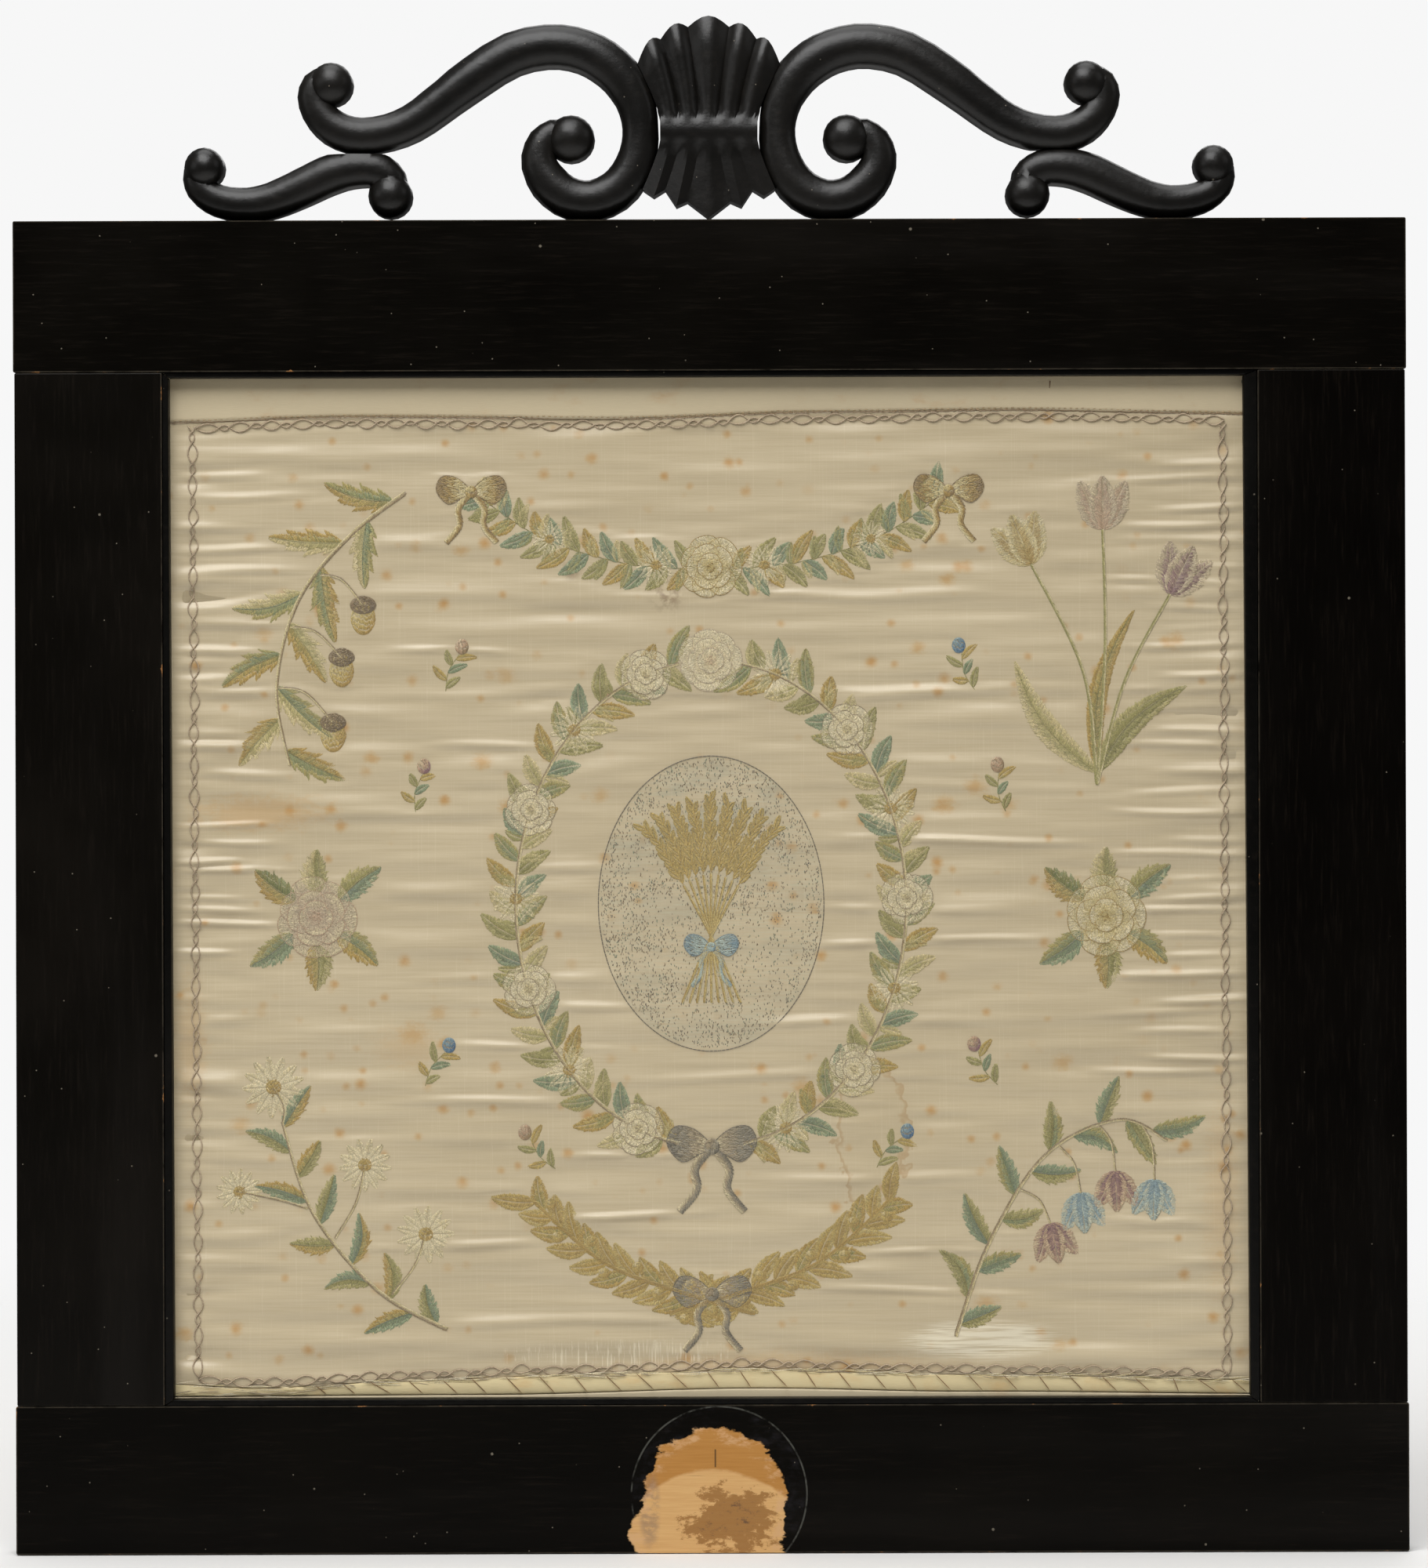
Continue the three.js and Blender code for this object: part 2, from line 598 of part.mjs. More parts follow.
const above = (line) => (x) => heightAt(line, x) + GAP / 2;
const below = (line) => (x) => heightAt(line, x) - GAP / 2;
add("silk_panel", silkPanel(), silk);
const clothTop = () => SIGHT_HIGH + CLOTH_TUCK;
const clothFoot = () => SIGHT_LOW - CLOTH_TUCK;
add("heading_strip", strip(LEVEL.high, above(HEADING_SEAM), clothTop, 0.3), heading);
add("hem_tape", strip(LEVEL.low, above(TAPE_EDGE), below(HEM_SEAM), 0.6), tape);
add("foot_strip", strip(LEVEL.low, clothFoot, below(TAPE_EDGE), 0.1), heading);

add("border_top", levelBorder(borderHigh), cord);
add("border_bottom", levelBorder(borderLow), cord);
add("border_left", sideBorder("left"), cord);
add("border_right", sideBorder("right"), cord);

const boardX = SIGHT_X + REBATE - GAP;
const boardFront = CLOTH_BACK + GAP;
const boardLow = SIGHT_LOW - REBATE + GAP;
const boardHigh = SIGHT_HIGH + REBATE - GAP;
add("backboard", box(-boardX, boardX, boardFront, boardFront + BOARD, boardLow, boardHigh), pine);

for (const [name, half] of Object.entries(HALVES)) {
  add("crest_scroll_" + name, scroll(half), ebony);
  add("crest_branch_" + name, branch(half), ebony);
}
add("crest_shell", shell(), ebony);

export default part;
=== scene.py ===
"""The looks of a framed silk embroidery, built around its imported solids.

Sizes are in millimetres until a mesh is made. X runs to the right, Y to the back, Z up.
"""

import math

import bpy
import numpy as np
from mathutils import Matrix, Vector


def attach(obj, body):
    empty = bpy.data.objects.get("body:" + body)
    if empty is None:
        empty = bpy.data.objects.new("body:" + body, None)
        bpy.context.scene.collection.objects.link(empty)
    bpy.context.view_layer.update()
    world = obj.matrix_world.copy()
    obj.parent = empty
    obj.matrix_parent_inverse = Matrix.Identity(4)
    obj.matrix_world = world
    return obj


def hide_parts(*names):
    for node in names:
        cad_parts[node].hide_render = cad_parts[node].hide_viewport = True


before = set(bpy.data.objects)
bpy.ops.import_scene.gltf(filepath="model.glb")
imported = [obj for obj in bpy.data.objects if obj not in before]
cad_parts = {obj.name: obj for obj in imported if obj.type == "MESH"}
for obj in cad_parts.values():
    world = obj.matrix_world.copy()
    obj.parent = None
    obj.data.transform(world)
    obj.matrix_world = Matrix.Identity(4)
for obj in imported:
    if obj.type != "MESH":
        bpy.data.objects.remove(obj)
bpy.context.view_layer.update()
rng = np.random.default_rng(11)

MM = 0.001

# Frame and cloth, as in the solids
FRAME_HALF = 320
FRAME_HEIGHT = 612.5
FRONT = -11
SIGHT_X = 251.7
SIGHT_LOW = 68
SIGHT_HIGH = 543
CLOTH_FRONT = -1.7
CLOTH_BACK = -0.5
CLOTH_TUCK = 6.5

# The pattern drawing: one unit is 0.36 mm on the silk, u to the right and v down from its upper left corner
UNIT = 0.36
DRAWING_MIDDLE = 907
DRAWING_TOP = 713.1


def drawn_at(u, v):
    """A point of the pattern drawing, in millimetres on the silk."""
    return np.array(((u - DRAWING_MIDDLE) * UNIT, DRAWING_TOP - v * UNIT))


def ease(t):
    s = np.clip(t, 0, 1)
    return s * s * (3 - 2 * s)


# Colours, in sRGB from 0 to 255
COLOURS = {
    "gold": (180, 158, 98),
    "pale gold": (194, 178, 130),
    "deep gold": (170, 142, 80),
    "ochre": (162, 136, 82),
    "brown": (138, 118, 86),
    "umber": (116, 100, 76),
    "blue green": (130, 138, 104),
    "sea green": (146, 156, 124),
    "olive": (140, 134, 86),
    "moss": (160, 152, 100),
    "dark green": (108, 116, 80),
    "slate": (124, 132, 110),
    "cream": (208, 194, 156),
    "ivory": (214, 202, 170),
    "bloom": (182, 165, 138),
    "blush": (196, 170, 134),
    "rose": (180, 152, 124),
    "purple": (130, 100, 102),
    "grey": (146, 138, 118),
    "dark grey": (116, 109, 94),
    "taupe": (158, 142, 114),
    "blue": (122, 142, 148),
    "deep blue": (84, 108, 130),
    "pale blue": (168, 178, 166),
    "thread": (150, 130, 106),
    "seam": (164, 138, 100),
    "whip": (138, 106, 70),
}


def linear(colour):
    """A colour's linear parts, from its name or its sRGB numbers."""
    parts = np.array(COLOURS[colour] if isinstance(colour, str) else colour) / 255
    return np.where(parts <= 0.04045, parts / 12.92, ((parts + 0.055) / 1.055) ** 2.4)


def tone(palette, t):
    """The linear colour at t, from 0 to 1, along a list of colours."""
    stops = [linear(c) for c in palette]
    place = float(np.clip(t, 0, 1)) * (len(stops) - 1)
    k = min(int(place), len(stops) - 2) if len(stops) > 1 else 0
    if len(stops) == 1:
        return stops[0]
    return stops[k] + (stops[k + 1] - stops[k]) * (place - k)


# Seams and edges across the cloth, and the border's side lines, from left to right or bottom to top
HEADING_SEAM = {"x": (-264, -164, -40, 50, 140, 264), "z": (520, 522.6, 521.4, 524.2, 525, 522.6)}
HEM_SEAM = {
    "x": (-264, -207, -145, -75, 20, 107, 264),
    "z": (77.6, 75.4, 78.2, 80.6, 83, 80.8, 77.8),
}
TAPE_EDGE = {"x": (-264, -100, 20, 120, 264), "z": (71.4, 72, 74.6, 72.8, 71.4)}
BORDER = {"left": (-236.8, -238.6), "right": (237.4, 236.2)}
BORDER_LEVELS = (80.4, 519)
BORDER_INSET = 2.8
MEDALLION = dict(x=0, z=298, wide=52, tall=68)  # the stippled oval


def height_at(line, x):
    """Height of a seam or edge at x, eased from one of its points to the next."""
    xs, zs = np.array(line["x"], float), np.array(line["z"], float)
    k = np.clip(np.searchsorted(xs, x), 1, len(xs) - 1)
    return zs[k - 1] + (zs[k] - zs[k - 1]) * ease((x - xs[k - 1]) / (xs[k] - xs[k - 1]))


# Main creases of the silk, as in the solids: middle, length, rise towards the front, width across
CREASES = [
    (60, 441, 150, 0.7, 9), (-95, 480, 110, 0.5, 10), (-120, 414, 60, 0.6, 6), (20, 396, 300, 0.9, 9),
    (-95, 370, 80, 0.6, 6), (110, 352, 160, 0.6, 9), (-150, 338, 120, 0.6, 10), (120, 327, 120, 0.8, 6),
    (-60, 316, 130, 0.6, 8), (85, 296, 120, 0.7, 7), (95, 280, 130, 0.8, 6), (-105, 262, 120, 0.6, 8),
    (-70, 252, 100, 0.7, 7), (60, 243, 150, 0.7, 8), (-85, 233, 90, 0.7, 6), (40, 218, 170, 0.6, 8),
    (-110, 206, 90, 0.6, 7), (-20, 181, 110, 0.8, 6), (80, 172, 110, 0.6, 8), (-40, 154, 90, 0.8, 6),
    (-120, 141, 110, 0.8, 7), (85, 136, 130, 0.7, 6), (90, 119, 120, 0.7, 6), (-60, 105, 150, 0.5, 8),
]
# Stretches of short draws along the sides
DRAWS = [
    dict(side=-1, low=352, high=505, pitch=11.5, rise=0.8, long=56),
    dict(side=-1, low=275, high=340, pitch=8, rise=0.9, long=44),
    dict(side=-1, low=120, high=262, pitch=17, rise=0.6, long=52),
    dict(side=1, low=325, high=505, pitch=9.5, rise=0.8, long=58),
    dict(side=1, low=215, high=322, pitch=9, rise=0.9, long=62),
    dict(side=1, low=110, high=205, pitch=15, rise=0.6, long=56),
]


def draws_of(side, low, high, pitch, rise, long):
    """The short draws along one stretch of a side edge."""
    for k in range(round((high - low) / pitch)):
        sway = math.sin(k * 2.4 + low)
        length = long * (1 + 0.3 * sway)
        x = side * (SIGHT_X - 4 - length / 2)
        z = low + (k + 0.5 + 0.2 * sway) * pitch
        yield x, z, length, rise * (0.75 + 0.25 * math.sin(k * 1.7)), pitch * 0.62


PUCKERS = CREASES + [d for row in DRAWS for d in draws_of(**row)]


def ripples(x, z, cell_x, cell_z, seed):
    """Smooth random heights from -1 to 1, one independent value in each cell."""
    lattice = np.random.default_rng(seed).uniform(-1, 1, (300, 400))
    u, v = x / cell_x + 140, z / cell_z
    i, j = np.floor(u).astype(int), np.floor(v).astype(int)
    s, t = ease(u - i), ease(v - j)
    low = lattice[i, j] * (1 - s) + lattice[i + 1, j] * s
    high = lattice[i, j + 1] * (1 - s) + lattice[i + 1, j + 1] * s
    return low * (1 - t) + high * t


RELIEF = 1.9  # how much the creases and ripples are raised over the solids


def shaped_lift(x, z):
    """How far the silk stands in front of its flat plane, worked out from its creases and ripples."""
    rise = np.zeros_like(x)
    for middle_x, middle_z, length, height, wide in PUCKERS:
        sag = 1.6 * np.sin((x - middle_x) / 31 + middle_z)  # creases wander a little
        lengthwise = (x - middle_x) / (length / 2)
        across = (z + sag - middle_z) / (wide / 2)
        inside = (np.abs(lengthwise) < 1) & (np.abs(across) < 1)
        bump = height * (1 - lengthwise**2) * (0.5 + 0.5 * np.cos(np.pi * across))
        rise = np.where(inside, np.maximum(rise, 0.9 * bump), rise)
    side = SIGHT_X - np.abs(x)
    near = np.exp(-side / 30)
    rise += 0.5 * ripples(x, z, 58, 8, 1) + 0.22 * ripples(x, z, 34, 4.6, 2)
    rise += near * (0.6 * ripples(x, z, 24, 5.6, 3) + 0.3 * ripples(x, z, 15, 3.4, 4))
    return RELIEF * rise * ease((side - 5) / 4)


# The silk's relief on a grid, which the cloth and its stitches read
LIFT_STEP = (2.0, 0.5)
LIFT_X = np.arange(-260, 261, LIFT_STEP[0])
LIFT_Z = np.arange(60, 552, LIFT_STEP[1])
LIFT = shaped_lift(*np.meshgrid(LIFT_X, LIFT_Z, indexing="ij"))


def silk_lift(x, z):
    """The silk's relief at a point, from its grid."""
    u = np.clip((np.asarray(x, float) - LIFT_X[0]) / LIFT_STEP[0], 0, len(LIFT_X) - 1.001)
    v = np.clip((np.asarray(z, float) - LIFT_Z[0]) / LIFT_STEP[1], 0, len(LIFT_Z) - 1.001)
    i, j = u.astype(int), v.astype(int)
    s, t = u - i, v - j
    low = LIFT[i, j] * (1 - s) + LIFT[i + 1, j] * s
    high = LIFT[i, j + 1] * (1 - s) + LIFT[i + 1, j + 1] * s
    return low * (1 - t) + high * t


HELD_SHARE = 0.72
FULLY_STITCHED = 0.3  # stitches to a grid cell


def hold_flat(works):
    """Takes most of the relief out of the silk where stitching stiffens it."""
    held = np.zeros_like(LIFT)
    for work in works:
        rows = np.array(work.rows)
        across = ((rows[:, 0] + rows[:, 2]) / 2 - LIFT_X[0]) / LIFT_STEP[0]
        up = ((rows[:, 1] + rows[:, 3]) / 2 - LIFT_Z[0]) / LIFT_STEP[1]
        np.add.at(held, (across.astype(int), up.astype(int)), 1)
    for axis, reach in ((0, 5), (1, 15)):
        spread = np.hanning(reach + 2)
        spread /= spread.sum()
        held = np.apply_along_axis(lambda row: np.convolve(row, spread, "same"), axis, held)
    LIFT[:] = LIFT * (1 - HELD_SHARE * ease(held / FULLY_STITCHED))


# Node materials
class Shader:
    """A material whose patterns are laid out in the object's own coordinates, in millimetres."""

    def __init__(self, name, **sockets):
        self.material = bpy.data.materials.new(name)
        self.material.use_nodes = True
        self.tree = self.material.node_tree
        self.surface = self.tree.nodes["Principled BSDF"]
        for key, value in sockets.items():
            self.surface.inputs[key.replace("_", " ")].default_value = value
        coordinates = self.add("ShaderNodeTexCoord")
        scaled = self.add("ShaderNodeVectorMath", operation="SCALE")
        self.tree.links.new(coordinates.outputs["Object"], scaled.inputs[0])
        scaled.inputs["Scale"].default_value = 1 / MM
        self.place = scaled.outputs[0]
        self.x, self.y, self.z = self.split(self.place)

    def add(self, kind, **settings):
        node = self.tree.nodes.new(kind)
        for key, value in settings.items():
            setattr(node, key, value)
        return node

    def feed(self, socket, value):
        if isinstance(value, bpy.types.NodeSocket):
            self.tree.links.new(value, socket)
        else:
            socket.default_value = value

    def split(self, vector):
        node = self.add("ShaderNodeSeparateXYZ")
        self.feed(node.inputs[0], vector)
        return node.outputs[0], node.outputs[1], node.outputs[2]

    def math(self, operation, a, b=0.0):
        node = self.add("ShaderNodeMath", operation=operation)
        self.feed(node.inputs[0], a)
        self.feed(node.inputs[1], b)
        return node.outputs[0]

    def times(self, a, b):
        return self.math("MULTIPLY", a, b)

    def plus(self, a, b):
        return self.math("ADD", a, b)

    def minus(self, a, b):
        return self.math("SUBTRACT", a, b)

    def lesser(self, a, b):
        return self.math("MINIMUM", a, b)

    def greater(self, a, b):
        return self.math("MAXIMUM", a, b)

    def gap(self, a, b):
        return self.math("ABSOLUTE", self.minus(a, b))

    def centred(self, value, share):
        """Noise moved to swing about zero, times a share."""
        return self.times(self.minus(value, 0.5), share)

    def tint(self, colour, amount, share, new):
        """The colour mixed with a new one by a share of an amount."""
        return self.mix(self.times(amount, share), colour, new)

    def noise(self, size, stretch=(1, 1, 1), detail=3.0, rough=0.55, at=(0, 0, 0)):
        """Noise whose lumps are size millimetres long, times the stretch along each axis."""
        node = self.add("ShaderNodeMapping")
        self.feed(node.inputs["Vector"], self.place)
        node.inputs["Location"].default_value = at
        node.inputs["Scale"].default_value = [1 / (size * s) for s in stretch]
        cloud = self.add("ShaderNodeTexNoise")
        self.feed(cloud.inputs["Vector"], node.outputs[0])
        cloud.inputs["Scale"].default_value = 1
        cloud.inputs["Detail"].default_value = detail
        cloud.inputs["Roughness"].default_value = rough
        return cloud.outputs["Fac"]

    def specks(self, size, amount, at=(0, 0, 0), ragged=None):
        """Round specks, one to a cell of the given size, with their radius as a share of it."""
        node = self.add("ShaderNodeMapping")
        self.feed(node.inputs["Vector"], self.place)
        node.inputs["Location"].default_value = at
        node.inputs["Scale"].default_value = (1 / size,) * 3
        cells = self.add("ShaderNodeTexVoronoi")
        self.feed(cells.inputs["Vector"], node.outputs[0])
        cells.inputs["Scale"].default_value = 1
        if ragged is None:
            return self.band(cells.outputs["Distance"], amount, amount * 0.6)
        reach = self.plus(cells.outputs["Distance"], self.times(ragged, 0.5 * amount))
        return self.band(reach, amount, 0.0)

    def band(self, value, start, end):
        """0 at start, 1 at end, eased between them."""
        node = self.add("ShaderNodeMapRange", interpolation_type="SMOOTHSTEP")
        self.feed(node.inputs["Value"], value)
        node.inputs["From Min"].default_value = min(start, end)
        node.inputs["From Max"].default_value = max(start, end)
        node.inputs["To Min"].default_value = 0 if start < end else 1
        node.inputs["To Max"].default_value = 1 if start < end else 0
        return node.outputs[0]

    def mix(self, amount, a, b, blend="MIX"):
        node = self.add("ShaderNodeMix", data_type="RGBA", blend_type=blend)
        self.feed(node.inputs[0], amount)
        for socket, value in ((node.inputs[6], a), (node.inputs[7], b)):
            known = isinstance(value, bpy.types.NodeSocket)
            self.feed(socket, value if known else (*linear(value), 1))
        return node.outputs[2]

    def off(self, x, z, wide=1.0, tall=1.0):
        """Distance from a point on the front, in units of the given half sizes."""
        dx = self.math("DIVIDE", self.minus(self.x, x), wide)
        dz = self.math("DIVIDE", self.minus(self.z, z), tall)
        square = self.plus(self.times(dx, dx), self.times(dz, dz))
        return self.math("SQRT", square)

    def bump(self, height, distance, strength=1.0, under=None):
        node = self.add("ShaderNodeBump")
        node.inputs["Strength"].default_value = strength
        node.inputs["Distance"].default_value = distance * MM
        self.feed(node.inputs["Height"], height)
        if under is not None:
            self.feed(node.inputs["Normal"], under)
        return node.outputs[0]

    def finish(self, colour=None, roughness=None, normal=None):
        for key, value in (("Base Color", colour), ("Roughness", roughness), ("Normal", normal)):
            if value is not None:
                self.feed(self.surface.inputs[key], value)
        return self.material


# Foxing and stains on the silk: place in the drawing, radius in units, and strength
FOXING = [
    (614, 970, 11, 0.9), (647, 1028, 10, 0.9), (588, 700, 8, 0.7), (473, 965, 8, 0.8),
    (335, 805, 10, 0.5), (407, 775, 8, 0.6), (645, 860, 10, 0.6), (743, 929, 6, 0.9),
    (765, 1014, 9, 0.6), (263, 497, 9, 0.8), (1158, 720, 8, 0.7), (1210, 739, 9, 0.8),
    (1173, 827, 8, 0.8), (1246, 1005, 11, 0.8), (1205, 1028, 12, 0.8), (1288, 1028, 9, 0.6),
    (1410, 950, 8, 0.7), (1497, 820, 11, 0.6), (1161, 1157, 11, 0.7), (1024, 1388, 12, 0.8),
    (1356, 1357, 10, 0.7), (1257, 1666, 12, 0.7), (1353, 1718, 9, 0.7), (1512, 1438, 10, 0.6),
    (303, 1436, 11, 0.6), (525, 1320, 14, 0.6), (557, 1291, 10, 0.6), (479, 1644, 8, 0.7),
    (680, 1463, 7, 0.6), (230, 1702, 9, 0.9),
]
STAIN = dict(u=1112, v=1450, wide=46, tall=94)  # a tide line left by damp
# u, v, half width, half height and strength
CLOUDS = [
    (330, 1035, 110, 30, 0.4),
    (520, 1335, 60, 36, 0.22),
    (1000, 1745, 260, 26, 0.25),
    (240, 1330, 26, 110, 0.25),
    (1560, 1540, 30, 160, 0.22),
]
# Worn places: u, v, half width and half height
WORN = (1250, 1712, 100, 26)
COMBED = (790, 1730, 140, 17)
# Brown stains: x, z and radius in millimetres
BROWN_STAINS = ((-20, 440, 11), (25, 446, 9), (-64, 452, 7))


def silk_material():
    s = Shader("silk satin", Roughness=0.4, Specular_IOR_Level=0.6)
    colour = s.mix(s.noise(90, (1.6, 1, 1), 2), (204, 189, 158), (184, 168, 136))
    streak = s.noise(5, (9, 1, 0.22), 3, 0.65)
    colour = s.tint(colour, s.band(streak, 0.35, 0.75), 0.32, (168, 150, 114))
    warp = s.noise(3, (0.22, 1, 14), 2, 0.6)
    colour = s.tint(colour, s.band(warp, 0.55, 0.8), 0.16, (224, 214, 186))
    ragged = s.centred(s.noise(3.2, (1.4, 1, 0.8), 4, 0.7), 1.5)
    colour = foxing(s, colour, ragged)
    colour = tide_line(s, colour)
    colour = worn_silk(s, colour, ragged)
    colour = oval_ground(s, colour)
    fine = s.bump(s.noise(0.62, (7, 1, 0.5), 2, 0.5), 0.05, 0.5)
    normal = s.bump(streak, 0.12, 0.35, fine)
    return s.finish(colour, s.plus(s.times(streak, 0.2), 0.32), normal)


def off_drawn(s, u, v, wide, tall):
    """Distance from a place in the drawing, in units of the given half sizes."""
    return s.off(*drawn_at(u, v), wide * UNIT, tall * UNIT)


def foxing(s, colour, ragged):
    """Rust spots at the drawing's places, smaller ones scattered in groups, and broad brown clouds."""
    rust = 0.0
    for u, v, size, strength in FOXING:
        radius = size * UNIT * 1.25
        near = s.plus(s.off(*drawn_at(u, v), radius * 1.25, radius), ragged)
        rust = s.greater(rust, s.times(s.band(near, 1.15, 0.05), strength * 0.75))
    colour = s.mix(rust, colour, (182, 138, 72))
    gathered = s.band(s.noise(70, (1.3, 1, 1), 2, 0.5, (4, 0, 1)), 0.28, 0.5)
    blots = ((15, 0.2, (3, 0, 5), 0.7), (21, 0.2, (11, 0, 17), 0.85), (33, 0.14, (5, 0, 2), 0.85))
    for size, share, at, strength in blots:
        blot = s.times(s.specks(size, share, at, ragged), strength)
        colour = s.tint(colour, blot, gathered, (180, 136, 74))
    for u, v, wide, tall, strength in CLOUDS:
        near = s.plus(off_drawn(s, u, v, wide, tall), ragged)
        colour = s.tint(colour, s.band(near, 1.1, 0.2), strength, (190, 146, 86))
    return colour


def worn_silk(s, colour, ragged):
    """Bare weft in streaks at the lower right, and bare warp below the middle."""
    weft = s.noise(2.4, (16, 1, 0.5), 3, 0.6, (7, 0, 2))
    reach = s.plus(off_drawn(s, *WORN), s.centred(weft, 1.6))
    thin = s.times(s.band(reach, 1.15, 0.75), s.band(weft, 0.36, 0.56))
    colour = s.tint(colour, thin, 0.8, (228, 219, 194))
    under = off_drawn(s, *COMBED)
    bare_warp = s.band(s.noise(2.2, (0.35, 1, 12), 2, 0.6, (2, 0, 4)), 0.5, 0.66)
    combed = s.times(s.band(s.plus(under, ragged), 1.25, 0.6), bare_warp)
    return s.tint(colour, combed, 0.7, (226, 216, 190))


def oval_ground(s, colour):
    """The pale grey wash of the stippled oval, cloudier towards its top, and the silk's brown stains."""
    inside = s.band(s.off(*MEDALLION.values()), 1.01, 0.98)
    haze = s.band(s.noise(26, (1.6, 1, 0.6), 4, 0.6, (6, 0, 3)), 0.42, 0.68)
    high = s.band(s.z, MEDALLION["z"], MEDALLION["z"] + MEDALLION["tall"])
    wash = s.times(inside, s.times(haze, s.plus(s.times(high, 0.4), 0.25)))
    colour = s.mix(wash, colour, (138, 138, 122))
    threads = s.times(s.band(s.noise(1.5, (9, 1, 0.5), 2, 0.6), 0.48, 0.62), inside)
    colour = s.tint(colour, threads, 0.3, (186, 184, 158))
    for x, z, wide in BROWN_STAINS:
        stain = s.times(s.band(s.off(x, z, wide, wide), 1.0, 0.1), s.band(s.noise(4), 0.36, 0.6))
        colour = s.tint(colour, stain, 0.6, (116, 88, 62))
    return colour


def tide_line(s, colour):
    """A ragged brown line around a patch that was once damp."""
    wander = s.centred(s.noise(13, (1, 1, 1), 3, 0.6, (5, 0, 9)), 1.3)
    ring = s.plus(off_drawn(s, **STAIN), wander)
    edge = s.times(s.band(ring, 0.86, 0.99), s.band(ring, 1.06, 1.0))
    colour = s.tint(colour, s.band(ring, 1.0, 0.9), 0.12, (176, 156, 116))
    return s.mix(s.times(edge, 0.5), colour, (164, 130, 84))


def cloth_material(name, base, stain, stained):
    s = Shader(name, Roughness=0.7)
    colour = s.mix(s.noise(60, (2, 1, 1), 2), base, tuple(0.93 * c for c in base))
    blot = s.band(s.noise(16, (1.5, 1, 0.8), 4, 0.6), 0.62 - 0.12 * stained, 0.8)
    colour = s.tint(colour, blot, 0.55, stain)
    weave = s.noise(0.7, (5, 1, 0.5), 2)
    colour = s.tint(colour, weave, 0.25, tuple(0.8 * c for c in base))
    return s.finish(colour, None, s.bump(weave, 0.08, 0.6))


def thread_material():
    """Silk thread: each stitch's own colour, with the fine streaks of its twist."""
    s = Shader("silk thread", Roughness=0.42, Sheen_Weight=0.2)
    own = s.add("ShaderNodeAttribute", attribute_name="thread").outputs["Color"]
    twist = s.noise(0.5, (1, 1, 1), 2, 0.6)
    shade = s.mix(s.band(twist, 0.3, 0.75), (196, 196, 196), (255, 255, 255))
    return s.finish(s.mix(1.0, own, shade, "MULTIPLY"), None, s.bump(twist, 0.06, 0.5))


def ebony_material(name, grain, wear, base=(9, 7, 4), gloss=0.05):
    """Black lacquer on wood with its grain along one axis, dust specks, and, where wear is 1, rubbed edges
    with a paler line along them that is partly scuffs and partly a painted highlight.
    """
    s = Shader(name, Roughness=0.36, Specular_IOR_Level=gloss)
    stretch = {"x": (14, 1, 1), "z": (1, 1, 14), "round": (3, 2, 2)}[grain]
    fibre = s.noise(1.5, stretch, 4, 0.65)
    broad = s.noise(70, (1, 1, 1), 3)
    colour = s.mix(s.band(broad, 0.35, 0.75), tuple(0.62 * c for c in base), base)
    colour = s.tint(colour, s.band(fibre, 0.5, 0.8), 0.5, (26, 21, 16))
    bloom = s.times(s.band(s.noise(60, stretch, 4, 0.6, (8, 2, 4)), 0.5, 0.75), 0.25)
    colour = s.mix(bloom, colour, (36, 33, 30))
    dust = s.greater(s.specks(9, 0.045), s.specks(23, 0.035, (4, 1, 7)))
    colour = s.tint(colour, dust, 0.6, (130, 122, 108))
    if wear:
        colour = rubbed_and_highlit_edges(s, colour, fibre)
    scratches = s.noise(0.8, (26, 1, 1) if grain != "z" else (1, 1, 26), 2, 0.4, (9, 3, 1))
    fine = s.bump(fibre, 0.10, 0.5)
    normal = s.bump(scratches, 0.05, 0.3, fine)
    if grain == "round":
        normal = s.bump(s.noise(7, (1, 1, 1), 3, 0.6), 0.5, 0.4, normal)
    rough = s.plus(s.times(broad, 0.22), s.times(fibre, 0.14))
    return s, colour, s.plus(rough, 0.16), normal


def rubbed_and_highlit_edges(s, colour, fibre):
    """Orange-brown wood along the boards' arrises, where the black has worn off, and a paler grey line along
    them that is partly scuffs and partly a painted highlight.
    """
    side = s.minus(FRAME_HALF, s.math("ABSOLUTE", s.x))
    sight = s.gap(s.math("ABSOLUTE", s.x), SIGHT_X)
    low = s.lesser(s.z, s.gap(s.z, SIGHT_LOW))
    top = s.gap(s.z, FRAME_HEIGHT)
    high = s.lesser(top, s.gap(s.z, SIGHT_HIGH))
    within = s.times(s.band(s.z, SIGHT_LOW - 0.3, SIGHT_LOW), s.band(s.z, SIGHT_HIGH + 0.3, SIGHT_HIGH))
    sight = s.plus(sight, s.times(s.minus(1.0, within), 20.0))
    behind = s.minus(s.y, FRONT)  # only the front arrises are rubbed
    near = s.lesser(s.lesser(side, sight), s.lesser(low, high))
    near = s.greater(near, behind)
    patchy = s.noise(11, (1.5, 1, 1.5), 4, 0.75, (2, 6, 3))
    reach = s.times(s.band(patchy, 0.56, 0.74), 1.1)
    bare = s.band(s.minus(near, reach), 0.05, -0.25)
    # Paler grey line on the front arrises: partly scuffs, partly a painted highlight where the edges catch
    # the light.
    scuff_and_highlight_line = s.times(s.band(near, 0.75, 0.35), s.band(patchy, 0.3, 0.55))
    colour = s.tint(colour, scuff_and_highlight_line, 0.5, (72, 66, 56))
    return s.mix(s.times(bare, 0.8), colour, s.mix(fibre, (120, 78, 44), (176, 128, 80)))


# The bare patch where an ornament was once glued to the bottom rail, inside a scribed circle
PATCH = dict(half=34, shoulder=20, rise=38.6)
CIRCLE = dict(x=2.9, z=26.9, radius=40.3)
TICK = dict(x=1.2, z=43.5, half=4.3)
